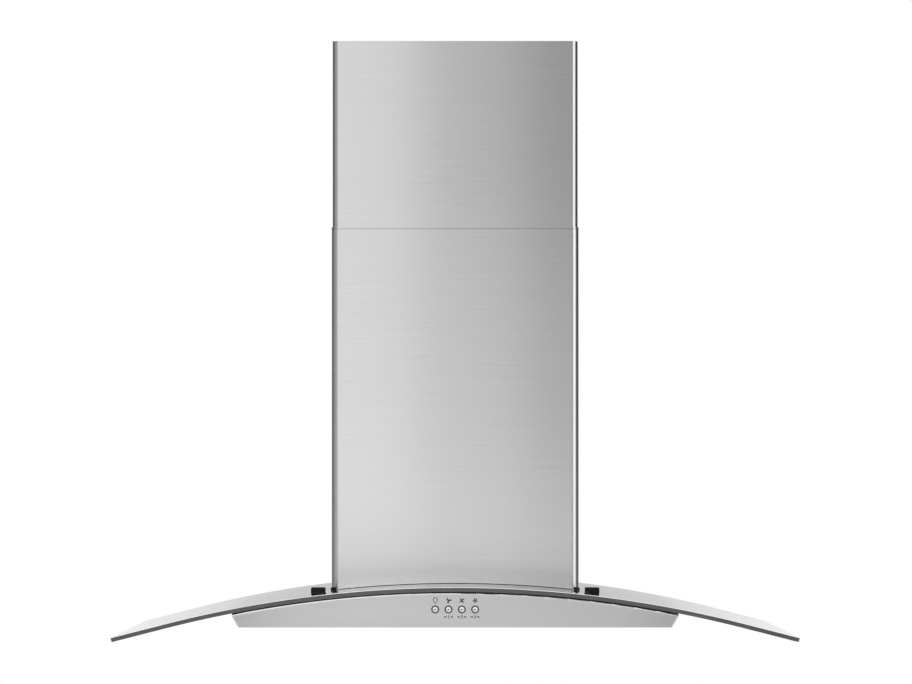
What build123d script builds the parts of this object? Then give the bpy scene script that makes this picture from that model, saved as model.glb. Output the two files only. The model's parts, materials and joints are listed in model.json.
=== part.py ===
from build123d import *
import os
from math import asin, cos, radians, sin, sqrt, tan

# Wall-mounted chimney range hood with an arched glass canopy. Millimetres.
# +X is to the right, -Y towards the cook and +Z up. The wall is the plane Y = 0, and the
# origin is the centre of the four wall screw holes in the back of the blower box.

# Glass canopy
glass_width = 900
glass_depth = 500
glass_thickness = 6
glass_crown_drop = 120
glass_arc_radius = 1527
glass_end_flat = 71.55
glass_arris = 0.6
glass_corner_radius = 6
glass_notch_gap = 7
glass_notch_radius = 12

# Hood body under the glass
body_overhang = 40
body_width = 590
body_height = 45.2
body_end_slant = 30
body_sheet = 1
body_bend = 2.2
body_flange = 14
gasket_height = 3
gasket_width = 10
gasket_inset = 1.2
seat_gap = 0.15
fit_gap = 0.3

# Chimney covers
chimney_width = 334
chimney_depth = 350
chimney_rise = 481
chimney_sheet = 0.8
chimney_bend = 10
chimney_gap = 0.4
chimney_seat_gap = 0.6
chimney_flange = 14
upper_length = 460
upper_visible = 251
vent_count = 4
vent_length = 120
vent_height = 6
vent_pitch = 16
vent_top_margin = 30
vent_centre_y = -180

# Blower box
box_width = 290
box_sheet = 1
box_flange = 14
wall_hole_radius = 4.25
wall_hole_inset = 25
wall_hole_spacing_z = 100
inlet_margin = 8

# Fan, its axis along X
fan_rear_gap = 4
fan_front_gap = 20
fan_floor_gap = 14
wheel_radius = 82
wheel_half_width = 70
blade_count = 32
blade_depth = 14
blade_tip_inset = 1
blade_fold = 7
blade_lean = 42
blade_thickness = 0.8
wheel_plate = 1.2
wheel_ring = 2
hub_radius = 12
hub_front = 14
hub_back = 10
shaft_radius = 4
shaft_front = 16
running_gap = 0.05
scroll_wheel_gap = 20
scroll_step = 14
scroll_outlet_rise = 43
scroll_tongue_angle = 125
scroll_tongue_radius = 3
scroll_outlet_right = 11
scroll_half_width = 78
scroll_sheet = 1
scroll_lip = 3
scroll_hole_gap = 3
ring_throat_gap = 1
ring_bell_radius = 8
ring_overlap = 8
ring_sheet = 1.2

# Motor
motor_radius = 44
motor_near = 14
motor_far = 88
motor_edge = 5
motor_collar_radius = 14
motor_collar_length = 6
arm_sheet = 2
arm_width = 16
arm_count = 3
arm_foot = 9

# Fan capacitor
capacitor_radius = 17
capacitor_length = 58
capacitor_setback = 45
capacitor_z = 40
capacitor_edge = 2
clip_sheet = 1.2
clip_height = 16
clip_foot = 14

# Outlet collar and damper
collar_setback = 100
collar_radius = 75
collar_wall = 1
collar_height = 50
collar_flange = 13
ledge_width = 4
ledge_height = 2
damper_height = 20
damper_radius = 71.5
damper_sheet = 1.2
damper_pin_radius = 2
knuckle_wall = 1.2
knuckle_length = 20
knuckle_places = (-60, 22)
knuckle_shift = 22
damper_web_gap = 0.4

# Terminal box and cable gland
terminal_inset = 30
terminal_y = -62
terminal_width = 46
terminal_depth = 84
terminal_height = 38
terminal_wall = 2
terminal_block_size = (26, 12, 12)
gland_radius = 9
gland_bore = 4
gland_height = 16
gland_nut_radius = 12
gland_nut_height = 5
gland_y = -36

# Wall bracket of the upper cover
bracket_sheet = 1.5
bracket_height = 40
bracket_top_margin = 14
bracket_arm = 62
bracket_jog = 8
bracket_side_gap = 2
bracket_hole_spacing = 200
bracket_hole_radius = 3
bracket_screw_y = -42

# Push buttons
button_pitch = 17.5
button_drop = 30.5
button_radius = 3.7
button_proud = 1.2
button_length = 6.2
button_travel = 2.5
button_dimple_radius = 0.8
button_dimple_depth = 0.4
button_edge = 0.4
stem_radius = 1.7
stem_length = 10
bezel_radius = 5.25
bezel_proud = 0.8
bezel_bore = 3.9
bezel_neck_radius = 4.5
bezel_neck_length = 2.6
neck_gap = 0.1
switch_half_width = 50
switch_front = 9
switch_depth = 20
switch_height = 22
switch_foot = 8
switch_bore_gap = 0.2
board_thickness = 1.6
board_margin = 3
chip_size = (16, 5, 10)

# Bottom panel
panel_sheet = 0.8
panel_side_gap = 1
filter_middle_strip = 7
filter_outer_strip = 27.6
filter_front_strip = 85
filter_rear_strip = 55
ear_sheet = 1.2
ear_half_length = 5
ear_height = 8
ear_wall_gap = 0.3

# Filters
filter_side_gap = 1.5
filter_front_gap = 3
filter_rear_gap = 2.5
filter_height = 8
filter_drop = 0.2
filter_bar = 12
filter_front_bar = 26
filter_sheet = 0.8
filter_pin_radius = 2
filter_pin_reach = 3.2
filter_pin_inset = 5
notch_gap = 0.06
mesh_thickness = 2.4
mesh_columns = 6
mesh_rows = 8
mesh_web_share = 0.3

# Filter latches
latch_width = 34
latch_height = 4
latch_nose_width = 16
latch_nose_height = 2.4
latch_rim_gap = 0.3
latch_travel = 5
latch_tab_width = 24
latch_tab_sheet = 2
latch_tab_drop = 3
latch_slot_gap = 0.4

# Lamps
lamp_x = 170
lamp_front = 48
lamp_can_radius = 27
lamp_can_height = 18
lamp_wall = 1
lamp_lens_radius = 24
lamp_lens_sheet = 2
lamp_lens_dome = 1.2
lamp_bezel_radius = 33
lamp_bezel_sheet = 1.2
lamp_bezel_step = 3

# Glass clamps
clamp_x = 183.5
clamp_setback = 82
clamp_width = 19
clamp_depth = 16
clamp_top_height = 8
clamp_edge = 1.5
clamp_screw_radius = 2.5
clamp_screw_head = 4.5
clamp_screw_head_height = 3
glass_hole_radius = 5
bush_radius = 4.7
bush_flange = 9
nut_radius = 4.5
nut_height = 4
pad_size = 7
pad_height = 3.5
pad_edge = 1

# Small screws
screw_radius = 1.9
screw_head_radius = 3.6
screw_head_height = 2.2
screw_length = 7
screw_gap = 0.2
hole_radius = screw_radius + screw_gap
side_screw_shares = (0.25, 0.75)

# Cuts run past the faces they open by this much
overrun = 5

# Heights and depths that the pieces share
glass_crown_z = -glass_crown_drop
arch_centre_z = glass_crown_z - glass_arc_radius
body_top_depth = glass_thickness + gasket_height
body_crown_z = glass_crown_z - body_top_depth
body_bottom_z = body_crown_z - body_height
body_front_y = -(glass_depth - body_overhang)
body_front_inside_y = body_front_y + body_sheet
panel_low_z = body_bottom_z + body_sheet
panel_high_z = panel_low_z + panel_sheet
chimney_top_z = glass_crown_z + chimney_rise
upper_top_z = chimney_top_z + upper_visible
chimney_inside = chimney_width / 2 - chimney_sheet
upper_half_width = chimney_inside - chimney_gap
upper_front_y = -(chimney_depth - chimney_sheet - chimney_gap)
box_half = box_width / 2
terminal_x = terminal_inset - box_half
wall_hole_x = box_half - wall_hole_inset
blade_inner_radius = wheel_radius - blade_depth
blade_tip_radius = wheel_radius - blade_tip_inset
ring_throat_radius = blade_inner_radius + ring_throat_gap
scroll_hole_radius = wheel_radius + scroll_hole_gap
ring_outer_radius = scroll_hole_radius + ring_overlap
scroll_radius = wheel_radius + scroll_wheel_gap
scroll_rim = scroll_sheet + scroll_lip
scroll_rear = scroll_step / 2 + scroll_radius + scroll_rim
scroll_front = scroll_step / 2 + scroll_radius + 2 * scroll_step + scroll_rim
scroll_floor = scroll_step / 2 + scroll_radius + scroll_step + scroll_rim
fan_y = -(box_sheet + fan_rear_gap + scroll_rear)
fan_z = body_crown_z + fan_floor_gap + scroll_floor
box_depth = -fan_y + scroll_front + fan_front_gap + box_sheet
box_top = fan_z + scroll_radius - scroll_step / 2 + scroll_outlet_rise
collar_y = collar_setback - box_depth
capacitor_y = capacitor_setback - box_depth
box_seat_depth = body_top_depth - seat_gap
fan_plane = Plane(origin=(0, fan_y, fan_z), x_dir=(0, 1, 0), z_dir=(1, 0, 0))
collar_low_z = box_top
damper_z = collar_low_z + damper_height
filter_low_z = panel_low_z - filter_drop
filter_front_y = body_front_y + filter_front_strip + filter_front_gap
filter_rear_y = -filter_rear_strip - filter_rear_gap
filter_axis_y = filter_rear_y - filter_pin_inset
filter_axis_z = filter_low_z + filter_height / 2
button_z = glass_crown_z - button_drop
button_xs = [button_pitch * (index - 1.5) for index in range(4)]
switch_face_y = body_front_y + switch_front
lamp_y = body_front_y + lamp_front
clamp_y = body_front_y + clamp_setback


def arch_z(x, depth=0):
    """Height at x of the arc that lies depth under the top of the glass."""
    return arch_centre_z + sqrt((glass_arc_radius - depth) ** 2 - x**2)


def block(x_range, y_range, z_range):
    """Box between a low and a high place along each axis."""
    spans = [high - low for low, high in (x_range, y_range, z_range)]
    middles = [(low + high) / 2 for low, high in (x_range, y_range, z_range)]
    return Pos(*middles) * Box(*spans)


def rod(start, end, radius):
    """Round bar between two points."""
    direction = Vector(*end) - Vector(*start)
    return extrude(Plane(origin=start, z_dir=direction) * Circle(radius), direction.length)


def tube(start, end, radius, bore):
    """Round tube between two points."""
    return rod(start, end, radius) - rod(start, end, bore)


def screw(seat, direction, length=screw_length, radius=screw_radius):
    """Pan-head screw whose head stands on its seat and whose shank runs along direction."""
    start = Vector(*seat)
    along = Vector(*direction).normalized()
    shank = rod(tuple(start), tuple(start + along * length), radius)
    return rod(tuple(start - along * screw_head_height), tuple(start), screw_head_radius) + shank


def under_arch(depth):
    """Everything that lies under the arc at this depth below the top of the glass."""
    centre = (0, -glass_depth / 2, arch_centre_z)
    reach = Vector(0, glass_depth, 0)
    start = Vector(*centre) - reach
    end = Vector(*centre) + reach
    return rod(tuple(start), tuple(end), glass_arc_radius - depth)


def mirrored(shape):
    """The same piece on the other side of the plane X = 0."""
    return mirror(shape, about=Plane.YZ)


def save(shape, name):
    """Write one named sub-part."""
    export_step(shape, f"parts/{name}.step")


def sheet_path(depth):
    """Left end, arc start, crown, arc end and right end of the glass at this depth."""
    angle = asin((glass_width / 2 - glass_end_flat) / glass_arc_radius)
    radius = glass_arc_radius - depth
    straight = glass_end_flat / cos(angle)
    arc_x = radius * sin(angle)
    arc_height = arch_centre_z + radius * cos(angle)
    tip_x = arc_x + straight * cos(angle)
    tip_z = arc_height - straight * sin(angle)
    crown = (0, arch_centre_z + radius)
    return [(-tip_x, tip_z), (-arc_x, arc_height), crown, (arc_x, arc_height), (tip_x, tip_z)]


def glass_panel():
    """Arched glass with straight ends, a rear notch for the blower box and clamp holes."""
    top = sheet_path(0)
    bottom = sheet_path(glass_thickness)
    edges = [Line(bottom[0], top[0]), Line(bottom[4], top[4])]
    for path in (top, bottom):
        edges += [Line(path[0], path[1]), ThreePointArc(*path[1:4]), Line(path[3], path[4])]
    glass = extrude(Plane.XZ * make_face(edges), glass_depth)
    corners = glass.edges().filter_by(lambda edge: abs(edge.center().X) > glass_width / 2 - glass_thickness)
    front_corners = [
        edge
        for edge in corners
        if edge.length < glass_thickness * 1.5 and edge.center().Y < -glass_depth / 2
    ]
    glass = fillet(front_corners, glass_corner_radius)
    front = [edge for edge in glass.edges() if edge.center().Y < -glass_depth + glass_corner_radius / 2]
    rims = [edge for edge in front if edge.length > glass_thickness * 1.5]
    glass = chamfer(rims, glass_arris)
    notch_half = box_half + glass_notch_gap
    notch_front = -(box_depth + glass_notch_gap)
    notch = extrude(
        Plane.XY
        * Pos(0, notch_front / 2)
        * RectangleRounded(notch_half * 2, -notch_front, glass_notch_radius),
        2 * glass_crown_drop,
        both=True,
    )
    notch += block((-notch_half, notch_half), (-glass_notch_radius * 2, overrun), (2 * glass_crown_z, 0))
    glass -= notch
    for side in (-1, 1):
        x = side * clamp_x
        glass -= rod((x, clamp_y, 2 * glass_crown_z), (x, clamp_y, 0), glass_hole_radius)
    return glass


def body_outline():
    """Front outline of the hood body: arched top, slanted ends, flat bottom."""
    end_z = arch_z(body_width / 2, body_top_depth)
    bottom_half = body_width / 2 - (end_z - body_bottom_z) * tan(radians(body_end_slant))
    low = (bottom_half, body_bottom_z)
    high = (body_width / 2, end_z)
    crown = (0, body_crown_z)
    edges = [
        Line((-low[0], low[1]), (-high[0], high[1])),
        ThreePointArc((-high[0], high[1]), crown, high),
        Line(high, low),
        Line(low, (-low[0], low[1])),
    ]
    return make_face(edges), bottom_half


def hood_body():
    """Folded sheet shell with a return flange round its open bottom."""
    outline, bottom_half = body_outline()
    outer = extrude(Plane.XZ * outline, -body_front_y)
    folds = [edge for edge in outer.faces().sort_by(Axis.Y)[0].edges() if edge.center().Z > body_bottom_z]
    outer = fillet([edge for edge in folds if edge.center().Z - body_bottom_z > body_sheet], body_bend)
    hollow_depth = -body_front_y - 2 * body_sheet
    hollow = extrude(Plane.XZ * offset(outline, -body_sheet), hollow_depth)
    hollow = Pos(0, -body_sheet, 0) * hollow
    inner_folds = [
        edge
        for edge in hollow.faces().sort_by(Axis.Y)[0].edges()
        if edge.center().Z - body_bottom_z > 2 * body_sheet
    ]
    hollow = fillet(inner_folds, body_bend - body_sheet)
    body = outer - hollow
    flange_x = bottom_half - body_flange
    body -= block(
        (-flange_x, flange_x),
        (body_front_y + body_flange, -body_flange),
        (body_bottom_z - overrun, body_bottom_z + 2 * body_sheet),
    )
    inlet_half = box_half - box_flange - inlet_margin
    body -= block(
        (-inlet_half, inlet_half),
        (-box_depth + box_flange + inlet_margin, -box_flange - inlet_margin),
        (body_crown_z - body_height / 2, glass_crown_z),
    )
    for x in button_xs:
        neck = bezel_neck_radius + neck_gap
        body -= rod((x, body_front_y - overrun, button_z), (x, body_front_y + overrun, button_z), neck)
    for x, y in box_screw_places():
        body -= rod((x, y, body_crown_z - body_height / 2), (x, y, glass_crown_z), hole_radius)
    for x, y in panel_screw_places():
        body -= rod((x, y, body_bottom_z - overrun), (x, y, panel_low_z + overrun), hole_radius)
    for side in (-1, 1):
        x = side * clamp_x
        body -= rod((x, clamp_y, body_bottom_z / 2 + body_crown_z / 2), (x, clamp_y, glass_crown_z),
                    clamp_screw_radius + screw_gap)
    return body


def panel_half_width():
    """Half width of the bottom panel, inside the body's slanted ends."""
    return body_outline()[1] - panel_side_gap


def box_screw_places():
    """Where the screws hold the blower box's bottom flange, two at each side."""
    x = box_half - box_flange / 2
    return [(side * x, -box_depth * share) for side in (-1, 1) for share in side_screw_shares]


def panel_screw_places():
    """Where the screws hold the bottom panel to the body's return flange, two at each side."""
    x = body_outline()[1] - body_flange / 2
    return [(side * x, body_front_y * share) for side in (-1, 1) for share in side_screw_shares]


def glass_gasket():
    """Rubber strip between the body's top and the glass, along the front and the ends."""
    half = body_width / 2 - gasket_inset
    front = body_front_y + body_bend + gasket_inset
    frame = block((-half, half), (front, -gasket_inset), (2 * glass_crown_z, 0))
    frame -= block(
        (-half + gasket_width, half - gasket_width),
        (front + gasket_width, overrun),
        (2 * glass_crown_z - overrun, overrun),
    )
    layer = under_arch(glass_thickness + seat_gap) - under_arch(body_top_depth - seat_gap)
    return layer & frame


def glass_bush(x):
    """Rubber bush in the glass's clamp hole, with a flange between glass and body."""
    glass_low = arch_z(abs(x) + bush_flange, glass_thickness) - seat_gap
    body_high = arch_z(abs(x) - bush_flange, body_top_depth) + seat_gap
    glass_high = arch_z(abs(x) + bush_radius)
    bush = rod((x, clamp_y, body_high), (x, clamp_y, glass_low), bush_flange)
    bush += rod((x, clamp_y, glass_low), (x, clamp_y, glass_high - seat_gap), bush_radius)
    bore = clamp_screw_radius + screw_gap
    return bush - rod((x, clamp_y, body_high - overrun), (x, clamp_y, glass_crown_z), bore)


def clamp_seat_z():
    """Flat top of the clamp blocks."""
    return arch_z(clamp_x + clamp_width / 2) + clamp_top_height


def glass_clamp(x):
    """Moulded block with a flat top whose underside follows the glass."""
    top = clamp_seat_z()
    clamp = block(
        (x - clamp_width / 2, x + clamp_width / 2),
        (clamp_y - clamp_depth / 2, clamp_y + clamp_depth / 2),
        (top - 2 * clamp_top_height, top),
    )
    clamp = fillet(clamp.faces().sort_by(Axis.Z)[-1].edges(), clamp_edge)
    clamp -= under_arch(-seat_gap)
    clamp -= rod((x, clamp_y, top - 2 * clamp_top_height), (x, clamp_y, top + overrun),
                 clamp_screw_radius + screw_gap)
    head_room = clamp_screw_head + screw_gap
    clamp -= rod((x, clamp_y, top - clamp_screw_head_height), (x, clamp_y, top + overrun), head_room)
    return clamp


def clamp_screw(x):
    """Clamp screw with its head sunk in the block, and its nut under the body's top."""
    head_low = clamp_seat_z() - clamp_screw_head_height
    body_inside = arch_z(abs(x) + nut_radius, body_top_depth + body_sheet) - seat_gap
    nut_low = body_inside - nut_height
    tip = nut_low - clamp_screw_radius
    shank = rod((x, clamp_y, tip), (x, clamp_y, head_low), clamp_screw_radius)
    head = rod((x, clamp_y, head_low), (x, clamp_y, clamp_seat_z() - seat_gap), clamp_screw_head)
    nut = extrude(Pos(x, clamp_y, nut_low) * RegularPolygon(nut_radius, 6), nut_height)
    return shank + head + nut


def cover_plan(half_width, front_y, rear_y, sheet, bend, flange):
    """Plan of a folded cover: front, two sides and two return flanges at the wall."""
    depth = rear_y - front_y
    outer = Pos(0, (front_y + rear_y) / 2) * Rectangle(2 * half_width, depth)
    outer = fillet(outer.vertices().group_by(Axis.Y)[0], bend)
    inner = Pos(0, (front_y + rear_y) / 2) * Rectangle(2 * (half_width - sheet), depth - 2 * sheet)
    inner = fillet(inner.vertices().group_by(Axis.Y)[0], bend - sheet)
    opening = Pos(0, rear_y) * Rectangle(2 * (half_width - sheet - flange), 4 * sheet)
    return outer - inner - opening


def chimney_lower():
    """Fixed cover whose bottom edge follows the arched glass."""
    plan = cover_plan(chimney_width / 2, -chimney_depth, 0, chimney_sheet, chimney_bend, chimney_flange)
    low = arch_z(chimney_width / 2) - overrun
    cover = extrude(Pos(0, 0, low) * plan, chimney_top_z - low)
    return cover - under_arch(-chimney_seat_gap)


def chimney_upper():
    """Telescoping cover with vent slots near its top and two screw holes."""
    rear = -(chimney_sheet + chimney_gap)
    plan = cover_plan(upper_half_width, upper_front_y, rear, chimney_sheet,
                      chimney_bend - chimney_sheet - chimney_gap, chimney_flange)
    cover = extrude(Pos(0, 0, upper_top_z - upper_length) * plan, upper_length)
    slot_plane = Plane(origin=(0, vent_centre_y, 0), x_dir=(0, 1, 0), z_dir=(1, 0, 0))
    for row in range(vent_count):
        z = upper_top_z - vent_top_margin - row * vent_pitch
        slot = slot_plane * Pos(0, z) * SlotOverall(vent_length, vent_height)
        cover -= extrude(slot, chimney_width, both=True)
    screw_z = upper_top_z - bracket_top_margin - bracket_height / 2
    cover -= rod((-chimney_width, bracket_screw_y, screw_z), (chimney_width, bracket_screw_y, screw_z),
                 hole_radius)
    return cover


def chimney_pad(side):
    """Small rubber pad that holds one front corner of the lower cover off the glass."""
    x = side * (chimney_width / 2 - pad_size / 2 + pad_edge)
    y = -chimney_depth + pad_size / 2 - pad_edge
    reach = pad_size / 2
    pad = block((x - reach, x + reach), (y - reach, y + reach), (2 * glass_crown_z, 0))
    pad = fillet(pad.edges().filter_by(Axis.Z), pad_edge)
    layer = under_arch(-pad_height) - under_arch(-seat_gap)
    plan = cover_plan(chimney_width / 2 + seat_gap, -chimney_depth - seat_gap, 0,
                      chimney_sheet + 2 * seat_gap, chimney_bend + seat_gap, chimney_flange)
    slot = extrude(Pos(0, 0, 2 * glass_crown_z) * plan, 2 * glass_crown_drop)
    return (pad & layer) - (slot - under_arch(seat_gap - chimney_seat_gap))


def wall_bracket():
    """Bracket on the wall whose two arms reach forward inside the upper cover."""
    top = upper_top_z - bracket_top_margin
    heights = (top - bracket_height, top)
    plate_half = upper_half_width - chimney_sheet - chimney_flange - bracket_side_gap
    arm_outer = upper_half_width - chimney_sheet - seat_gap
    bracket = block((-plate_half, plate_half), (-bracket_sheet, 0), heights)
    for side in (-1, 1):
        jog_x = sorted((side * plate_half, side * (plate_half - bracket_sheet)))
        out_x = sorted((side * (plate_half - bracket_sheet), side * arm_outer))
        arm_x = sorted((side * arm_outer, side * (arm_outer - bracket_sheet)))
        bracket += block(jog_x, (-bracket_jog, 0), heights)
        bracket += block(out_x, (-bracket_jog, -bracket_jog + bracket_sheet), heights)
        bracket += block(arm_x, (-bracket_arm, -bracket_jog + bracket_sheet), heights)
    middle = top - bracket_height / 2
    bracket -= rod((-chimney_width, bracket_screw_y, middle), (chimney_width, bracket_screw_y, middle),
                   hole_radius)
    for side in (-1, 1):
        x = side * bracket_hole_spacing / 2
        bracket -= rod((x, -overrun, middle), (x, overrun, middle), bracket_hole_radius)
    return bracket


def bracket_screws():
    """The two screws that hold the upper cover to its bracket."""
    z = upper_top_z - bracket_top_margin - bracket_height / 2
    screws = [
        screw((side * (upper_half_width + seat_gap / 2), bracket_screw_y, z), (-side, 0, 0))
        for side in (-1, 1)
    ]
    return screws


def blower_box():
    """Back, sides, top and inward flanges of the sheet box that hangs on the wall."""
    bottom = (arch_z(box_half, box_seat_depth) - overrun, box_top)
    front = -(box_depth - box_sheet)
    inside = box_half - box_sheet
    box = block((-box_half, box_half), (front, 0), bottom) - under_arch(box_seat_depth)
    hollow = block((-inside, inside), (front + box_sheet, -box_sheet), (bottom[0], box_top - box_sheet))
    box -= hollow - under_arch(box_seat_depth - box_sheet)
    window = box_half - box_flange
    box -= block((-window, window), (front - overrun, front + overrun),
                 (body_crown_z + box_flange, box_top - box_flange))
    box -= block((-window, window), (-box_depth + box_flange, -box_flange),
                 (2 * body_crown_z, body_crown_z + box_sheet + overrun))
    outlet = collar_radius - collar_wall
    box -= rod((0, collar_y, box_top - overrun), (0, collar_y, box_top + overrun), outlet)
    for x_side in (-1, 1):
        for z_side in (-1, 1):
            x = x_side * wall_hole_x
            z = z_side * wall_hole_spacing_z / 2
            box -= rod((x, -overrun, z), (x, overrun, z), wall_hole_radius)
    for x, y in box_screw_places():
        box -= rod((x, y, 2 * body_crown_z), (x, y, body_crown_z + overrun), hole_radius)
    for x, z in cover_screw_places():
        box -= rod((x, front - overrun, z), (x, front + overrun, z), hole_radius)
    for x, y in collar_screw_places():
        box -= rod((x, y, box_top - overrun), (x, y, box_top + overrun), hole_radius)
    return box


def cover_screw_places():
    """Where the front cover is screwed to the blower box, one near each corner."""
    x = box_half - box_flange / 2
    low = body_crown_z + box_flange
    high = box_top - box_flange
    return [(side * x, z) for side in (-1, 1) for z in (low, high)]


def blower_cover():
    """Removable front of the blower box."""
    cover = block((-box_half, box_half), (-box_depth, -box_depth + box_sheet),
                  (arch_z(box_half, box_seat_depth), box_top))
    cover -= under_arch(box_seat_depth)
    for x, z in cover_screw_places():
        cover -= rod((x, -box_depth - overrun, z), (x, -box_depth + overrun, z), hole_radius)
    return cover


def scroll_region():
    """Air space of the scroll, four quarter arcs whose radii grow by one step each."""
    half = scroll_step / 2
    small = scroll_radius - scroll_step
    tongue = radians(scroll_tongue_angle)
    lead = radians((scroll_tongue_angle + 90) / 2)
    diagonal = sqrt(2) / 2
    large = scroll_radius + scroll_step
    largest = scroll_radius + 2 * scroll_step
    start = (half + small * cos(tongue), half + small * sin(tongue))
    lead_in = (half + small * cos(lead), half + small * sin(lead))
    top = (half, half + small)
    right = (half + scroll_radius, -half)
    bottom = (-half, -half - large)
    left = (-half - largest, half)
    outlet = box_top - box_sheet - fan_z
    edges = [
        ThreePointArc(start, lead_in, top),
        ThreePointArc(top, (half + scroll_radius * diagonal, -half + scroll_radius * diagonal), right),
        ThreePointArc(right, (-half + large * diagonal, -half - large * diagonal), bottom),
        ThreePointArc(bottom, (-half - largest * diagonal, half - largest * diagonal), left),
        Line(left, (left[0], outlet)),
        Line((left[0], outlet), (scroll_outlet_right, outlet)),
        Line((scroll_outlet_right, outlet), start),
    ]
    region = make_face(edges)
    nose = region.vertices().sort_by_distance((start[0], start[1], 0))[0]
    return fillet(nose, scroll_tongue_radius), outlet


def blower_scroll():
    """Scroll housing: a wrap between two side plates, open at the outlet and both inlets."""
    region, outlet = scroll_region()
    wrap = offset(region, scroll_sheet) - region
    side = offset(region, scroll_sheet + scroll_lip) - Circle(scroll_hole_radius)
    scroll = extrude(fan_plane * wrap, scroll_half_width, both=True)
    for end in (-1, 1):
        near = end * scroll_half_width
        plate = extrude(fan_plane * side, end * scroll_sheet)
        scroll += Pos(near, 0, 0) * plate
    above = fan_z + outlet - fit_gap
    return scroll - block((-box_half, box_half), (-box_depth, 0), (above, above + box_top))


def inlet_ring(side):
    """Bell-mouthed ring over one inlet of the scroll."""
    face = scroll_half_width + scroll_sheet + ring_sheet
    bell = ring_throat_radius + ring_bell_radius
    thin = ring_bell_radius - ring_sheet
    diagonal = sqrt(2) / 2
    lip = face - ring_bell_radius
    edges = [
        Line((face, ring_outer_radius), (face, bell)),
        ThreePointArc(
            (face, bell),
            (lip + ring_bell_radius * diagonal, bell - ring_bell_radius * diagonal),
            (lip, ring_throat_radius),
        ),
        Line((lip, ring_throat_radius), (lip, ring_throat_radius + ring_sheet)),
        ThreePointArc(
            (lip, ring_throat_radius + ring_sheet),
            (lip + thin * diagonal, bell - thin * diagonal),
            (face - ring_sheet, bell),
        ),
        Line((face - ring_sheet, bell), (face - ring_sheet, ring_outer_radius)),
        Line((face - ring_sheet, ring_outer_radius), (face, ring_outer_radius)),
    ]
    ring = revolve(Plane.XY * make_face(edges), Axis.X)
    ring = Pos(0, fan_y, fan_z) * ring
    return ring if side > 0 else mirrored(ring)


def fan_point(x):
    """Point on the fan's axis."""
    return (x, fan_y, fan_z)


def blade_section():
    """One forward-folded blade seen along the shaft, a strip with one crease."""
    inner = Vector(blade_inner_radius, 0)
    crease = Vector(blade_tip_radius - blade_fold, 0)
    tip = Vector(blade_tip_radius, blade_fold * tan(radians(blade_lean)))
    shift = Vector(0, blade_thickness)
    return make_face(Polyline(inner, crease, tip, tip + shift, crease + shift, inner + shift, close=True))


def impeller():
    """Double-inlet wheel: blades between two end rings, carried by a centre plate and hub."""
    blade = extrude(fan_plane * blade_section(), wheel_half_width - wheel_ring / 2, both=True)
    axis = Axis((0, fan_y, fan_z), (1, 0, 0))
    blades = [blade.rotate(axis, index * 360 / blade_count) for index in range(blade_count)]
    plate = rod(fan_point(-wheel_plate / 2), fan_point(wheel_plate / 2), wheel_radius)
    plate += rod(fan_point(-hub_front), fan_point(hub_back), hub_radius)
    rings = []
    for side in (-1, 1):
        ends = sorted((side * (wheel_half_width - wheel_ring), side * wheel_half_width))
        bore = blade_inner_radius - blade_thickness
        rings.append(tube(fan_point(ends[0]), fan_point(ends[1]), wheel_radius, bore))
    wheel = plate.fuse(*rings, *blades)
    return wheel - rod(fan_point(-hub_front - overrun), fan_point(hub_back + overrun), shaft_radius)


def motor_housing():
    """Motor can with rounded edges and a bored collar round the shaft."""
    can = rod(fan_point(motor_near), fan_point(motor_far), motor_radius)
    can = chamfer(can.edges().filter_by(GeomType.CIRCLE), motor_edge)
    can += rod(fan_point(motor_far), fan_point(motor_far + motor_collar_length), motor_collar_radius)
    bore = shaft_radius + running_gap
    return can - rod(fan_point(0), fan_point(motor_far + 2 * motor_collar_length), bore)


def motor_arms():
    """Angles of the bracket's arms about the fan axis."""
    return [90 + index * 360 / arm_count for index in range(arm_count)]


def around_fan(angle, radius, x):
    """Point at this angle and radius about the fan axis."""
    turn = radians(angle)
    return (x, fan_y + radius * cos(turn), fan_z + radius * sin(turn))


def motor_bracket():
    """Three-armed bracket that carries the motor off the right inlet ring."""
    near = motor_far
    far = motor_far + arm_sheet
    seat = scroll_half_width + scroll_sheet + ring_sheet
    reach = ring_outer_radius
    plate = rod((near, fan_y, fan_z), (far, fan_y, fan_z), motor_radius - motor_edge)
    arm = block((near, far), (-arm_width / 2, arm_width / 2), (0, reach))
    arm += block((seat, far), (-arm_width / 2, arm_width / 2), (reach - arm_sheet, reach))
    foot = (reach - arm_foot, reach)
    arm += block((seat, seat + arm_sheet), (-arm_width / 2, arm_width / 2), foot)
    arm -= block((seat + arm_sheet, near), (-arm_width, arm_width), (0, reach - arm_sheet))
    for angle in motor_arms():
        plate += Pos(0, fan_y, fan_z) * Rot(angle - 90, 0, 0) * arm
    plate -= rod((near - overrun, fan_y, fan_z), (far + overrun, fan_y, fan_z),
                 motor_collar_radius + seat_gap)
    return plate


def capacitor_x():
    """The capacitor stands a clip's thickness off the box's left side."""
    return -box_half + box_sheet + clip_sheet + seat_gap + capacitor_radius


def capacitor():
    """Motor capacitor, an upright can with rounded ends."""
    x = capacitor_x()
    can = rod((x, capacitor_y, capacitor_z), (x, capacitor_y, capacitor_z + capacitor_length),
              capacitor_radius)
    return chamfer(can.edges().filter_by(GeomType.CIRCLE), capacitor_edge)


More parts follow.
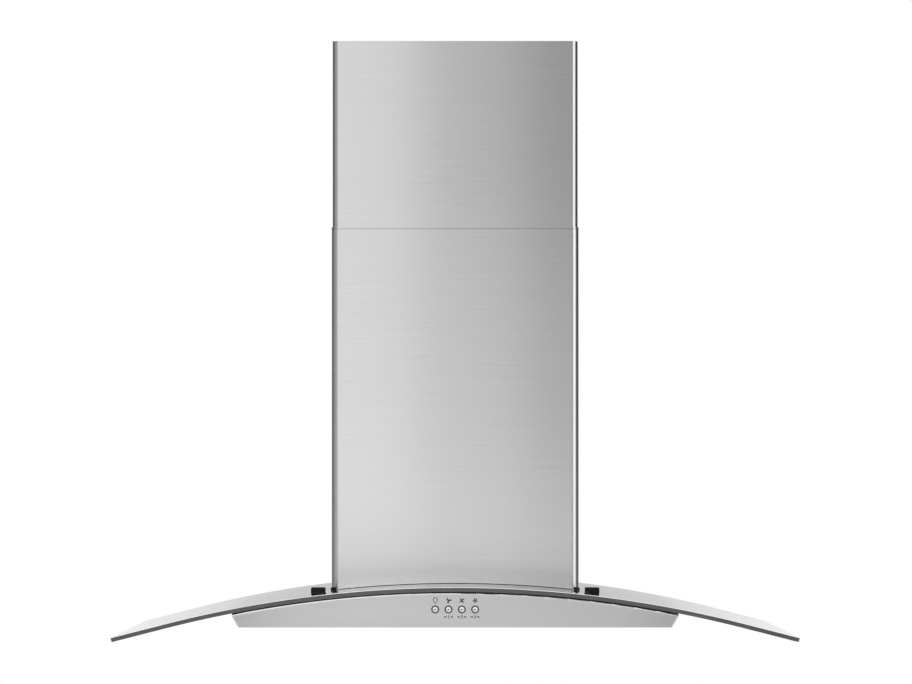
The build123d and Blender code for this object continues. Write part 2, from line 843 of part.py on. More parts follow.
def capacitor_clip():
    """Sprung band round the capacitor with a foot on the box's side."""
    x = capacitor_x()
    low = capacitor_z + capacitor_length / 2 - clip_height / 2
    bore = capacitor_radius + seat_gap
    band = tube((x, capacitor_y, low), (x, capacitor_y, low + clip_height), bore + clip_sheet, bore)
    gap = capacitor_radius
    band -= block((x, x + 2 * gap), (capacitor_y - gap / 2, capacitor_y + gap / 2),
                  (low - overrun, low + clip_height + overrun))
    wall = -box_half + box_sheet
    foot = block((wall, wall + clip_sheet), (capacitor_y, capacitor_y + capacitor_radius + clip_foot),
                 (low, low + clip_height))
    return band + foot - rod((x, capacitor_y, low), (x, capacitor_y, low + clip_height), bore)


def outlet_collar():
    """Round spigot for the duct, with a flange and the ledge that the flaps rest on."""
    low = collar_low_z
    top = low + collar_height
    bore = collar_radius - collar_wall
    collar = tube((0, collar_y, low), (0, collar_y, top), collar_radius, bore)
    collar += tube((0, collar_y, low), (0, collar_y, low + collar_wall), collar_radius + collar_flange, bore)
    ledge_top = damper_z - damper_sheet / 2 - fit_gap
    collar += tube((0, collar_y, ledge_top - ledge_height), (0, collar_y, ledge_top),
                   collar_radius - collar_wall / 2, bore - ledge_width)
    collar -= rod((-collar_radius - overrun, collar_y, damper_z), (collar_radius + overrun, collar_y, damper_z),
                  damper_pin_radius)
    for x, y in collar_screw_places():
        collar -= rod((x, y, low - overrun), (x, y, low + overrun), hole_radius)
    return collar


def collar_screw_places():
    """Three screws round the collar's flange, one of them at the back."""
    radius = collar_radius + collar_flange / 2
    angles = [radians(index * 360 / 3 + 90) for index in range(3)]
    return [(radius * cos(angle), collar_y + radius * sin(angle)) for angle in angles]


def damper_flap(front):
    """Half-round flap with two knuckles on the shared pin."""
    low = damper_z - damper_sheet / 2
    toward = -1 if front else 1
    knuckle = damper_pin_radius + running_gap + knuckle_wall
    gap = knuckle + damper_web_gap
    disc = rod((0, collar_y, low), (0, collar_y, low + damper_sheet), damper_radius)
    half = sorted((collar_y + toward * gap, collar_y + toward * damper_radius))
    flap = disc & block((-damper_radius, damper_radius), half, (low, low + damper_sheet))
    shift = 0 if front else knuckle_shift
    for place in knuckle_places:
        start = place + shift
        end = start + knuckle_length
        web = sorted((collar_y, collar_y + toward * (gap + damper_web_gap)))
        flap += block((start, end), web, (low, low + damper_sheet))
        flap += rod((start, collar_y, damper_z), (end, collar_y, damper_z), knuckle)
    return flap - rod((-collar_radius, collar_y, damper_z), (collar_radius, collar_y, damper_z),
                      damper_pin_radius + running_gap)


def damper_pin():
    """Fixed pin across the collar that both flaps swing on."""
    reach = sqrt(collar_radius**2 - damper_pin_radius**2)
    return rod((-reach, collar_y, damper_z), (reach, collar_y, damper_z), damper_pin_radius)


def terminal_box():
    """Open-topped moulded box for the mains terminals."""
    xs = (terminal_x - terminal_width / 2, terminal_x + terminal_width / 2)
    ys = (terminal_y - terminal_depth / 2, terminal_y + terminal_depth / 2)
    shell = block(xs, ys, (box_top, box_top + terminal_height))
    shell = fillet(shell.edges().filter_by(Axis.Z), terminal_wall)
    inner_x = (xs[0] + terminal_wall, xs[1] - terminal_wall)
    inner_y = (ys[0] + terminal_wall, ys[1] - terminal_wall)
    return shell - block(inner_x, inner_y, (box_top + terminal_wall, box_top + terminal_height + overrun))


def terminal_cover():
    """Lid of the terminal box with the gland's hole."""
    low = box_top + terminal_height
    lid = block(
        (terminal_x - terminal_width / 2, terminal_x + terminal_width / 2),
        (terminal_y - terminal_depth / 2, terminal_y + terminal_depth / 2),
        (low, low + terminal_wall),
    )
    lid = fillet(lid.edges().filter_by(Axis.Z), terminal_wall)
    return lid - rod((terminal_x, gland_y, low - overrun), (terminal_x, gland_y, low + overrun),
                     gland_radius)


def cable_gland():
    """Cable gland through the lid, clamped by its own nut below."""
    lid_low = box_top + terminal_height
    lid_high = lid_low + terminal_wall
    base = (terminal_x, gland_y, lid_low - gland_nut_height)
    body = rod(base, (terminal_x, gland_y, lid_high + gland_height), gland_radius)
    rim = body.edges().filter_by(GeomType.CIRCLE).sort_by(Axis.Z)[-1]
    body = chamfer(rim, gland_radius / 3)
    for low in (lid_low - gland_nut_height, lid_high):
        nut = Pos(terminal_x, gland_y, low) * RegularPolygon(gland_nut_radius, 6)
        body += extrude(nut, gland_nut_height)
    return body - rod((terminal_x, gland_y, lid_low - 2 * gland_nut_height),
                      (terminal_x, gland_y, lid_high + 2 * gland_height), gland_bore)


def terminal_block():
    """Three-way terminal strip on the floor of its box."""
    floor = box_top + terminal_wall
    width, depth, height = terminal_block_size
    y = terminal_y - terminal_depth / 4
    strip = block((terminal_x - width / 2, terminal_x + width / 2), (y - depth / 2, y + depth / 2),
                  (floor, floor + height))
    for way in (-1, 0, 1):
        x = terminal_x + way * width / 3
        strip -= rod((x, y, floor + height / 2), (x, y, floor + height + overrun), depth / 5)
    return strip


def button_bezel(x):
    """Dark ring pressed into the front panel round one button."""
    ring = rod((x, body_front_y - bezel_proud, button_z), (x, body_front_y, button_z), bezel_radius)
    ring += rod((x, body_front_y, button_z), (x, body_front_y + bezel_neck_length, button_z),
                bezel_neck_radius)
    return ring - rod((x, body_front_y - overrun, button_z), (x, body_front_y + overrun, button_z),
                      bezel_bore)


def push_button(x):
    """Button cap with a centre dimple and a stem that reaches into the switch block."""
    face = body_front_y - button_proud
    back = face + button_length
    cap = rod((x, face, button_z), (x, back, button_z), button_radius)
    cap = chamfer(cap.edges().filter_by(GeomType.CIRCLE).sort_by(Axis.Y)[0], button_edge)
    cap += rod((x, back, button_z), (x, back + stem_length, button_z), stem_radius)
    return cap - rod((x, face - overrun, button_z), (x, face + button_dimple_depth, button_z),
                     button_dimple_radius)


def switch_block():
    """Black switch carrier behind the front panel, a foot at each end against the sheet."""
    heights = (button_z - switch_height / 2, button_z + switch_height / 2)
    half = switch_half_width
    carrier = block((-half, half), (switch_face_y, switch_face_y + switch_depth), heights)
    for side in (-1, 1):
        foot = sorted((side * half, side * (half - switch_foot)))
        carrier += block(foot, (body_front_inside_y, switch_face_y), heights)
    bore = stem_radius + switch_bore_gap
    depth = stem_length + button_travel
    for x in button_xs:
        carrier -= rod((x, switch_face_y, button_z), (x, switch_face_y + depth, button_z), bore)
    return carrier


def control_board():
    """Circuit board behind the switch carrier with a relay and two chips."""
    front = switch_face_y + switch_depth
    half = switch_half_width + board_margin
    heights = (button_z - switch_height / 2, button_z + switch_height / 2)
    board = block((-half, half), (front, front + board_thickness), heights)
    width, depth, height = chip_size
    for place in (-1, 0, 1):
        x = place * switch_half_width / 2
        board += block((x - width / 2, x + width / 2),
                       (front + board_thickness, front + board_thickness + depth),
                       (button_z - height / 2, button_z + height / 2))
    return board


def filter_span(side):
    """Low and high X of one filter frame."""
    near = filter_middle_strip + filter_side_gap
    far = panel_half_width() - filter_outer_strip - filter_side_gap
    return (near, far) if side > 0 else (-far, -near)


def ear_span(side, outer):
    """Low and high X of one pivot ear, which stands just outside the filter's side."""
    low, high = filter_span(side)
    if outer == (side > 0):
        start = high + filter_side_gap + ear_wall_gap
        return (start, start + ear_sheet)
    start = low - filter_side_gap - ear_wall_gap
    return (start - ear_sheet, start)


def bottom_panel():
    """Sheet under the hood with openings for filters and lamps and the filters' pivot ears."""
    half = panel_half_width()
    rear = -body_sheet - panel_side_gap
    front = body_front_inside_y + panel_side_gap
    panel = block((-half, half), (front, rear), (panel_low_z, panel_high_z))
    opening_front = body_front_y + filter_front_strip
    heights = (panel_low_z - overrun, panel_high_z + overrun)
    for side in (-1, 1):
        edges = sorted((side * filter_middle_strip, side * (half - filter_outer_strip)))
        panel -= block(edges, (opening_front, -filter_rear_strip), heights)
        lamp = (side * lamp_x, lamp_y)
        panel -= rod((*lamp, heights[0]), (*lamp, heights[1]), lamp_can_radius + fit_gap)
    for x, y in panel_screw_places():
        panel -= rod((x, y, heights[0]), (x, y, heights[1]), hole_radius)
    ear_top = panel_high_z + ear_height
    for side in (-1, 1):
        for outer in (False, True):
            ear_x = ear_span(side, outer)
            reach = (filter_axis_y - ear_half_length, filter_axis_y + ear_half_length)
            ear = block(ear_x, reach, (panel_low_z, ear_top))
            start = (ear_x[0] - overrun, filter_axis_y, filter_axis_z)
            end = (ear_x[1] + overrun, filter_axis_y, filter_axis_z)
            notch = filter_pin_radius + notch_gap
            ear -= rod(start, end, notch)
            ear -= block((start[0], end[0]), (filter_axis_y - notch, filter_axis_y + notch),
                         (filter_axis_z, ear_top + overrun))
            panel += ear
    return panel


def filter_frame(side):
    """Channel frame of one filter with its pivot pins and the slots for the latch."""
    xs = filter_span(side)
    ys = (filter_front_y, filter_rear_y)
    zs = (filter_low_z, filter_low_z + filter_height)
    frame = block(xs, ys, zs)
    frame -= block(
        (xs[0] + filter_bar, xs[1] - filter_bar),
        (ys[0] + filter_front_bar, ys[1] - filter_bar),
        (zs[0] - overrun, zs[1] + overrun),
    )
    wall = filter_sheet
    groove_z = (zs[0] + wall, zs[1] - wall)
    frame -= block((xs[0] + wall, xs[1] - wall), (ys[0] + filter_front_bar - filter_bar, ys[1] - wall),
                   groove_z)
    middle = (xs[0] + xs[1]) / 2
    pocket = latch_width / 2 + latch_slot_gap
    frame -= block((middle - pocket, middle + pocket),
                   (ys[0] + wall, ys[0] + filter_front_bar - filter_bar - wall), groove_z)
    nose = latch_nose_width / 2 + latch_slot_gap
    nose_z = (filter_axis_z - latch_nose_height / 2 - latch_slot_gap,
              filter_axis_z + latch_nose_height / 2 + latch_slot_gap)
    frame -= block((middle - nose, middle + nose), (ys[0] - overrun, ys[0] + overrun), nose_z)
    tab = latch_tab_width / 2 + latch_slot_gap
    tab_y = latch_tab_y()
    frame -= block((middle - tab, middle + tab),
                   (tab_y[0] - latch_slot_gap, tab_y[1] + latch_travel + latch_slot_gap),
                   (zs[0] - overrun, zs[0] + 2 * wall))
    for end, reach in ((xs[0], -filter_pin_reach), (xs[1], filter_pin_reach)):
        frame += rod((end, filter_axis_y, filter_axis_z), (end + reach, filter_axis_y, filter_axis_z),
                     filter_pin_radius)
        frame += rod((end, filter_axis_y, filter_axis_z), (end - reach, filter_axis_y, filter_axis_z),
                     filter_pin_radius)
    return frame


def filter_mesh(side):
    """Expanded mesh pack held in the frame's groove, one sheet with diamond openings."""
    xs = filter_span(side)
    gap = filter_sheet + fit_gap
    low_x, high_x = xs[0] + gap, xs[1] - gap
    low_y = filter_front_y + filter_front_bar - filter_bar + fit_gap
    high_y = filter_rear_y - gap
    pin_room = filter_pin_reach - filter_sheet
    window_x = (xs[0] + filter_bar, xs[1] - filter_bar)
    window_y = (filter_front_y + filter_front_bar, filter_rear_y - filter_bar)
    pitch_x = (window_x[1] - window_x[0]) / mesh_columns
    pitch_y = (window_y[1] - window_y[0]) / mesh_rows
    sheet = Pos((low_x + high_x) / 2, (low_y + high_y) / 2) * Rectangle(high_x - low_x, high_y - low_y)
    hole_x = pitch_x * (1 - mesh_web_share)
    hole_y = pitch_y * (1 - mesh_web_share)
    diamond = [(-hole_x / 2, 0), (0, -hole_y / 2), (hole_x / 2, 0), (0, hole_y / 2)]
    hole = make_face(Polyline(*diamond, close=True))
    places = [
        Pos(window_x[0] + (column + 0.5) * pitch_x, window_y[0] + (row + 0.5) * pitch_y) * hole
        for column in range(mesh_columns)
        for row in range(mesh_rows)
    ]
    sheet -= places
    low = filter_axis_z - mesh_thickness / 2
    mesh = extrude(Pos(0, 0, low) * sheet, mesh_thickness)
    notch_y = (filter_axis_y - filter_pin_radius - fit_gap, high_y + overrun)
    for edge in (low_x, high_x):
        reach = (edge - pin_room, edge + pin_room)
        mesh -= block(reach, notch_y, (low - overrun, low + mesh_thickness + overrun))
    return mesh


def latch_tab_y():
    """Low and high Y of the latch's finger tab."""
    front = filter_front_y + filter_sheet + latch_slot_gap * 2
    return (front, front + latch_tab_sheet)


def filter_latch(side):
    """Sprung slider in the front bar: a nose ahead of the frame and a finger tab below."""
    xs = filter_span(side)
    middle = (xs[0] + xs[1]) / 2
    front = filter_front_y + filter_sheet + latch_slot_gap
    half = latch_width / 2
    rear_room = filter_front_bar - filter_bar - 2 * filter_sheet - 2 * latch_slot_gap - latch_travel
    slider = block((middle - half, middle + half), (front, front + rear_room),
                   (filter_axis_z - latch_height / 2, filter_axis_z + latch_height / 2))
    nose = latch_nose_width / 2
    nose_tip = body_front_y + filter_front_strip + latch_rim_gap
    slider += block((middle - nose, middle + nose), (nose_tip, front),
                    (filter_axis_z - latch_nose_height / 2, filter_axis_z + latch_nose_height / 2))
    tab = latch_tab_width / 2
    slider += block((middle - tab, middle + tab), latch_tab_y(),
                    (filter_low_z - latch_tab_drop, filter_axis_z))
    return slider


def lamp_can(side):
    """Lamp housing above the bottom panel, open below."""
    x = side * lamp_x
    low = panel_low_z
    top = low + lamp_can_height
    can = rod((x, lamp_y, low), (x, lamp_y, top), lamp_can_radius)
    return can - rod((x, lamp_y, low - overrun), (x, lamp_y, top - lamp_wall), lamp_can_radius - lamp_wall)


def lamp_bezel(side):
    """Trim ring under the panel with a neck inside the can."""
    x = side * lamp_x
    high = panel_low_z
    low = high - lamp_bezel_sheet
    ring = rod((x, lamp_y, low), (x, lamp_y, high), lamp_bezel_radius)
    ring = chamfer(ring.edges().filter_by(GeomType.CIRCLE).sort_by(Axis.Z)[0], lamp_bezel_sheet / 2)
    neck = lamp_can_radius - lamp_wall - seat_gap
    ring += rod((x, lamp_y, high), (x, lamp_y, high + lamp_bezel_step), neck)
    lens = lamp_lens_radius + seat_gap
    ring -= rod((x, lamp_y, high - lamp_bezel_sheet / 2), (x, lamp_y, high + 2 * lamp_bezel_step), lens)
    return ring - rod((x, lamp_y, low - overrun), (x, lamp_y, high), lens - lamp_bezel_sheet)


def lamp_lens(side):
    """Glass disc in the bezel, slightly domed on its upper side."""
    x = side * lamp_x
    low = panel_low_z - lamp_bezel_sheet / 2 + seat_gap
    disc = rod((x, lamp_y, low), (x, lamp_y, low + lamp_lens_sheet), lamp_lens_radius)
    return chamfer(disc.edges().filter_by(GeomType.CIRCLE).sort_by(Axis.Z)[-1], lamp_lens_dome)


def group(shapes):
    """Several separate solids as one node."""
    return Compound(children=[solid for shape in shapes for solid in shape.solids()])


def build():
    """Write every sub-part."""
    os.makedirs("parts", exist_ok=True)
    save(glass_panel(), "glass_panel")
    save(hood_body(), "hood_body")
    save(glass_gasket(), "glass_gasket")
    save(group([glass_bush(side * clamp_x) for side in (-1, 1)]), "glass_bushes")
    save(glass_clamp(-clamp_x), "glass_clamp_left")
    save(glass_clamp(clamp_x), "glass_clamp_right")
    save(group([clamp_screw(side * clamp_x) for side in (-1, 1)]), "clamp_screws")
    save(chimney_lower(), "chimney_lower")
    save(group([chimney_pad(side) for side in (-1, 1)]), "chimney_pads")
    save(chimney_upper(), "chimney_upper")
    save(wall_bracket(), "wall_bracket")
    save(group(bracket_screws()), "bracket_screws")
    save(blower_box(), "blower_box")
    save(blower_cover(), "blower_cover")
    cover_front = -box_depth - seat_gap / 2
    save(group([screw((x, cover_front, z), (0, 1, 0)) for x, z in cover_screw_places()]), "cover_screws")
    box_screws = []
    for x, y in box_screw_places():
        under = arch_z(abs(x) + screw_head_radius, body_top_depth + body_sheet) - seat_gap
        box_screws.append(screw((x, y, under), (0, 0, 1)))
    save(group(box_screws), "box_screws")
    save(blower_scroll(), "blower_scroll")
    save(inlet_ring(-1), "inlet_ring_left")
    save(inlet_ring(1), "inlet_ring_right")
    save(impeller(), "impeller")
    shaft_end = motor_far + motor_collar_length
    save(rod((-shaft_front, fan_y, fan_z), (shaft_end, fan_y, fan_z), shaft_radius), "motor_shaft")
    save(motor_housing(), "motor_housing")
    save(motor_bracket(), "motor_bracket")
    save(capacitor(), "capacitor")
    save(capacitor_clip(), "capacitor_clip")
    save(outlet_collar(), "outlet_collar")
    collar_seat = collar_low_z + collar_wall + seat_gap / 2
    save(group([screw((x, y, collar_seat), (0, 0, -1)) for x, y in collar_screw_places()]), "collar_screws")
    save(damper_flap(True), "damper_front")
    save(damper_flap(False), "damper_rear")
    save(damper_pin(), "damper_pin")
    save(terminal_box(), "terminal_box")
    save(terminal_cover(), "terminal_cover")
    save(terminal_block(), "terminal_block")
    save(cable_gland(), "cable_gland")
    save(group([button_bezel(x) for x in button_xs]), "button_bezels")
    for name, x in zip(("button_light", "button_low", "button_medium", "button_high"), button_xs):
        save(push_button(x), name)
    save(switch_block(), "switch_block")
    save(control_board(), "control_board")
    save(bottom_panel(), "bottom_panel")
    under_panel = body_bottom_z - seat_gap / 2
    save(group([screw((x, y, under_panel), (0, 0, 1)) for x, y in panel_screw_places()]), "panel_screws")
    for name, side in (("left", -1), ("right", 1)):
        save(filter_frame(side), f"filter_frame_{name}")
        save(filter_mesh(side), f"filter_mesh_{name}")
        save(filter_latch(side), f"filter_latch_{name}")
        save(lamp_can(side), f"lamp_can_{name}")
        save(lamp_bezel(side), f"lamp_bezel_{name}")
        save(lamp_lens(side), f"lamp_lens_{name}")


build()
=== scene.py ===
import json
import math
import bmesh
import bpy
from mathutils import Matrix, Vector

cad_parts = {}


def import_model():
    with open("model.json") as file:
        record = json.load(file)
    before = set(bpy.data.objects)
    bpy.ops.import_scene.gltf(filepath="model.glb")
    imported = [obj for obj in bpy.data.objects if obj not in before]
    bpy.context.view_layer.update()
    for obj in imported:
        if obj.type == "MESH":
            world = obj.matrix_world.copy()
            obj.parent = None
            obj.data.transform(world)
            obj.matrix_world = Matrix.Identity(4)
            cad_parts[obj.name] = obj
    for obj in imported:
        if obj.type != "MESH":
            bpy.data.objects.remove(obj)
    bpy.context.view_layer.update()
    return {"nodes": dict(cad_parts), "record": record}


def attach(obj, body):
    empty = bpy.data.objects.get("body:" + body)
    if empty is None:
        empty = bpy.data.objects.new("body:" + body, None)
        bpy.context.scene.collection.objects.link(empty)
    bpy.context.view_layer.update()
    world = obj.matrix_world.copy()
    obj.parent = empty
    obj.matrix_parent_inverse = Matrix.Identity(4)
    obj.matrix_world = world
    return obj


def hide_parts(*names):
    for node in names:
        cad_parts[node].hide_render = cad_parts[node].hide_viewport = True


# Range hood with an arched glass canopy: the looks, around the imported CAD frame. Metres.

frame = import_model()
nodes = frame["nodes"]
MM = 0.001
MERGE = 0.01 * MM
TINY = 0.001 * MM

# The photograph's view: a level camera far in front, its horizon below the middle of the picture
CAMERA_Y = -4.762
CAMERA_Z = 0.0293
LENS_MM = 129.1
SENSOR_MM = 36
SHIFT_X = 0.0009
SHIFT_Y = 0.1434
CAMERA_REACH = 100

# Floor far below, with the light it adds for the camera so that it looks as white as the world
FLOOR_Z = -1.82
FLOOR_HALF = 14
FLOOR_TONE = 0.94
FLOOR_ROUGHNESS = 0.9
FLOOR_LIFT = 0.14

# Glass canopy, as the CAD has it
GLASS_CROWN_Z = -0.120
GLASS_ARC_RADIUS = 1.527
GLASS_WIDTH = 0.900
GLASS_END_FLAT = 0.07155
GLASS_END_ANGLE = math.asin((GLASS_WIDTH / 2 - GLASS_END_FLAT) / GLASS_ARC_RADIUS)
GLASS_DEPTH = 0.500
GLASS_THICKNESS = 0.006
GLASS_ARRIS = 0.0006
GLASS_CORNER = 0.006
GLASS_STRIPS = 72
NOTCH_HALF = 0.152
NOTCH_DEPTH = 0.287
NOTCH_CORNER = 0.012
CLAMP_HOLE_RADIUS = 0.005
CLAMP_HOLE_STEPS = 48
GLASS_SMOOTH_ANGLE = 25

# Painted shade: a dark line below the lower cover's upper edge, at its seam with the upper cover: where it
# starts, is full, still is and ends
COVER_TOP_Z = 0.361
COVER_SHADE_START = 0.0042
COVER_SHADE_FULL = 0.0022
COVER_SHADE_LAST = 0.0016
COVER_SHADE_END = 0.0012
COVER_SHADE_TONE = (0.56, 0.56, 0.555)

# Front of the hood body and its buttons
# Painted highlight along the fold between the body's front and its arched top: the top's depth, where the
# bright line is full, where it fades, and its tone
BODY_TOP_DEPTH = 0.009
BODY_FOLD = 0.0009
BODY_FOLD_FADE = 0.00126
BODY_HIGHLIGHT_TONE = (0.98, 0.98, 0.98)
BODY_FRONT_Y = -0.460
BUTTON_DROP = 0.0305
BUTTON_Z = GLASS_CROWN_Z - BUTTON_DROP
BUTTON_PITCH = 0.0175
BUTTON_NAMES = ("light", "low", "medium", "high")
BUTTON_XS = [BUTTON_PITCH * (index - (len(BUTTON_NAMES) - 1) / 2) for index in range(len(BUTTON_NAMES))]
BEZEL_RADIUS = 0.00525
BEZEL_BORE = 0.0039
BEZEL_PROUD = 0.0008
BEZEL_NECK_RADIUS = 0.0045
BEZEL_NECK = 0.0026
BEZEL_ROUND = 0.00055
BEZEL_LIP = 0.0002
BEZEL_LIP_SHARE = 0.85
BEZEL_BORE_SHARE = 0.4
CAP_RADIUS = 0.0037
CAP_PROUD = 0.0012
CAP_LENGTH = 0.0062
CAP_STEM_RADIUS = 0.0017
CAP_STEM = 0.010
CAP_ROUND = 0.00035
DISH_MIDDLE_SHARE = 0.5
DISH_MIDDLE_DEPTH = 0.00014
DISH_RIM_SHARE = 0.8
DISH_RIM_DEPTH = 0.00003
DIMPLE_RADIUS = 0.0009
DIMPLE_FLOOR_SHARE = 0.8
DIMPLE_DEPTH = 0.00055
DIMPLE_FLOOR_DEPTH = 0.0005
DIMPLE_RIM_DEPTH = 0.00025
DIMPLE_BANDS = 2
ICON_RISE = 0.0117
LABEL_DROP = 0.0098
PRINT_HEIGHT = 0.00004
BULB_RISE = 0.0009
BULB_RADIUS = 0.0023
BULB_LINE = 0.0009
BULB_OPEN_ANGLE = 60
FAN_RADIUS = 0.0037
BLADE_SHARE = 0.74
BLADE_STEPS = 12
HUB_SHARE = 0.26
NECK_SHARE = 0.35
NUMBER_SIZE = 0.0052
NUMBER_WEIGHT = 0.00018
DASH_REACH = 0.0042
DASH_HALF = 0.0015
DASH_LINE = 0.0015

# Expanded mesh of the filters
STRAND = 0.0011
STRAND_LIFT = 0.0003
MESH_PITCH_X = 0.0105
MESH_PITCH_Y = 0.0052
MESH_LAYER_GAP = 0.0016
MESH_LAYER_SHARE = 0.17

# Pan-head screws with a cross recess
HEAD_RADIUS = 0.0036
HEAD_HEIGHT = 0.0022
HEAD_FLAT_SHARE = 0.45
HEAD_CROWN_SHARE = 0.97
HEAD_SHOULDER_SHARE = 0.9
HEAD_ROUND_SHARE = 0.55
SHANK_RADIUS = 0.0019
SHANK_LENGTH = 0.007
RECESS_WIDTH = 0.0009
RECESS_REACH = 0.0019
RECESS_DEPTH = 0.0013
SCREW_TURN = 0.7

# Brushed steel: streaks per metre along and across the grain, their shades and their depth
STREAKS_ALONG = 12
STREAKS_ACROSS = 2200
STREAK_DETAIL = 2
FINE_STREAK_SHARE = 0.7
BROAD_STREAK_SCALES = (0.4, 0.2)
STREAK_SHADES = (0.965, 1.02)
STREAK_RANGE = (0.34, 0.66)
STREAK_STRENGTH = 0.03
STREAK_DEPTH = 0.00001
BRUSHED_ROUGHNESS = (0.225, 0.245)
PANEL_ROUGHNESS = (0.32, 0.38)

# Other materials: noise values that a ramp spreads, and how their shades and grain vary
NOISE_RANGE = (0.3, 0.7)
MIDDLE_RANGE = (0.35, 0.65)
METAL_DETAIL = 5
METAL_DARK = 0.88
METAL_BUMP = 0.08
METAL_DEPTH = 0.00005
SPANGLE_SCALE = 140
SPANGLE_ROUGHNESS = (0.34, 0.52)
SPANGLE_DARK = 0.84
SPANGLE_RANGE = (0.2, 0.8)
MOULD_SPREAD = 60
MOULD_DETAIL = 3
MOULD_DARK = 0.86
MOULD_SPREAD_SHARES = (0.88, 1.12)
MOULD_BUMP = 0.25
SMEAR_SCALE = 9
SMEAR_DETAIL = 4
SMEAR_ROUGHNESS = (0.0, 0.05)
EDGE_SCALES = (30, 30, 900)
EDGE_ROUGHNESS = (0.28, 0.42)
# Painted shade on the glass edge: its darker and lighter grey
EDGE_DARK = (0.055, 0.058, 0.058)
EDGE_BRIGHT = (0.095, 0.10, 0.10)

# World light: sky heights where the ring of light below gives way to grey, and the plain strengths
SKY_START = 0.25
SKY_FULL = 0.75
SKY_TONE = (0.5, 0.5, 0.5)
DIFFUSE_STRENGTH = 0.9
WHITE_STRENGTH = 1.0

# World brightness that glossy surfaces see, by azimuth in degrees from the camera's side,
# positive to the right
GLOSS_ROUND = (
    (-180, 0.52), (-178, 0.56), (-176, 0.68), (-173, 0.98), (-154, 0.85), (-138, 0.10), (-95, 0.12),
    (-72, 0.32), (-52, 0.30), (-34, 0.50), (-16, 0.33), (8, 0.32), (17, 0.22), (24, 0.60), (36, 1.40),
    (62, 1.40), (74, 0.40), (84, 0.04), (138, 0.04), (154, 0.85), (173, 0.98), (176, 0.68),
    (178, 0.56), (180, 0.52),
)

# Softboxes that look along +Y at the hood: name, place, width, height and power. They stand at
# different depths, because glossy rays see one lamp at each depth.
SOFTBOXES = (
    ("near_left", (-0.31, -1.33, 0.55), 0.50, 1.34, 0.71),
    ("near_middle", (-0.23, -1.37, 0.55), 0.70, 1.34, 0.69),
    ("near_low", (0, -1.5, -0.32), 0.66, 0.6, 0.33),
    ("near_right", (0.21, -1.41, 0.13), 0.50, 0.56, 0.095),
)
TOP_LAMP_PLACE = (0, -1.2, 2.4)
TOP_LAMP_TARGET = (0, -0.2, 0)
TOP_LAMP_SIZE = 2.0
TOP_LAMP_POWER = 20


def link(tree, source, target):
    """Join an output socket to an input socket."""
    tree.links.new(source, target)


def new_material(name, colour, metallic=0.0, roughness=0.5, **sockets):
    """Principled material with the values set on its own sockets."""
    material = bpy.data.materials.new(name)
    material.use_nodes = True
    shader = material.node_tree.nodes["Principled BSDF"]
    shader.inputs["Base Color"].default_value = (*colour, 1)
    shader.inputs["Metallic"].default_value = metallic
    shader.inputs["Roughness"].default_value = roughness
    for socket, value in sockets.items():
        shader.inputs[socket.replace("_", " ")].default_value = value
    return material


def add_node(owner, kind, **settings):
    """Node of one kind with its settings, in a material or a world."""
    node = owner.node_tree.nodes.new(kind)
    for key, value in settings.items():
        setattr(node, key, value)
    return node


def math_node(owner, operation, first, second):
    """Math node on two values, each a socket or a number."""
    node = add_node(owner, "ShaderNodeMath", operation=operation)
    for place, value in enumerate((first, second)):
        if isinstance(value, (int, float)):
            node.inputs[place].default_value = value
        else:
            link(owner.node_tree, value, node.inputs[place])
    return node.outputs["Value"]


def stretched_noise(material, scale, detail=4.0, roughness=0.6):
    """Noise in the object's own metres, stretched by a scale along each axis."""
    tree = material.node_tree
    place = add_node(material, "ShaderNodeTexCoord")
    mapping = add_node(material, "ShaderNodeMapping")
    mapping.inputs["Scale"].default_value = scale
    noise = add_node(material, "ShaderNodeTexNoise")
    noise.inputs["Scale"].default_value = 1
    noise.inputs["Detail"].default_value = detail
    noise.inputs["Roughness"].default_value = roughness
    link(tree, place.outputs["Object"], mapping.inputs["Vector"])
    link(tree, mapping.outputs["Vector"], noise.inputs["Vector"])
    return noise.outputs["Fac"]


def map_range(material, value, low, high, source_low=NOISE_RANGE[0], source_high=NOISE_RANGE[1]):
    """Spread a noise value over a wanted range."""
    node = add_node(material, "ShaderNodeMapRange")
    node.inputs["From Min"].default_value = source_low
    node.inputs["From Max"].default_value = source_high
    node.inputs["To Min"].default_value = low
    node.inputs["To Max"].default_value = high
    link(material.node_tree, value, node.inputs["Value"])
    return node.outputs["Result"]


def colour_ramp(owner, value, stops):
    """Colours at given places along a value."""
    node = add_node(owner, "ShaderNodeValToRGB")
    ramp = node.color_ramp
    while len(ramp.elements) < len(stops):
        ramp.elements.new(1)
    for element, (position, colour) in zip(ramp.elements, stops):
        element.position = position
        element.color = (*colour, 1)
    link(owner.node_tree, value, node.inputs["Fac"])
    return node.outputs["Color"]


def shaded(material, value, colour, dark, bright=1.0, ends=MIDDLE_RANGE):
    """Colour that runs from a darker to a brighter copy of itself along a value."""
    low = tuple(channel * dark for channel in colour)
    high = tuple(min(1, channel * bright) for channel in colour)
    return colour_ramp(material, value, [(ends[0], low), (ends[1], high)])


def bump(material, value, strength, distance):
    """Bump from a value into the shader's normal."""
    tree = material.node_tree
    node = add_node(material, "ShaderNodeBump")
    node.inputs["Strength"].default_value = strength
    node.inputs["Distance"].default_value = distance
    link(tree, value, node.inputs["Height"])
    link(tree, node.outputs["Normal"], tree.nodes["Principled BSDF"].inputs["Normal"])
    return node


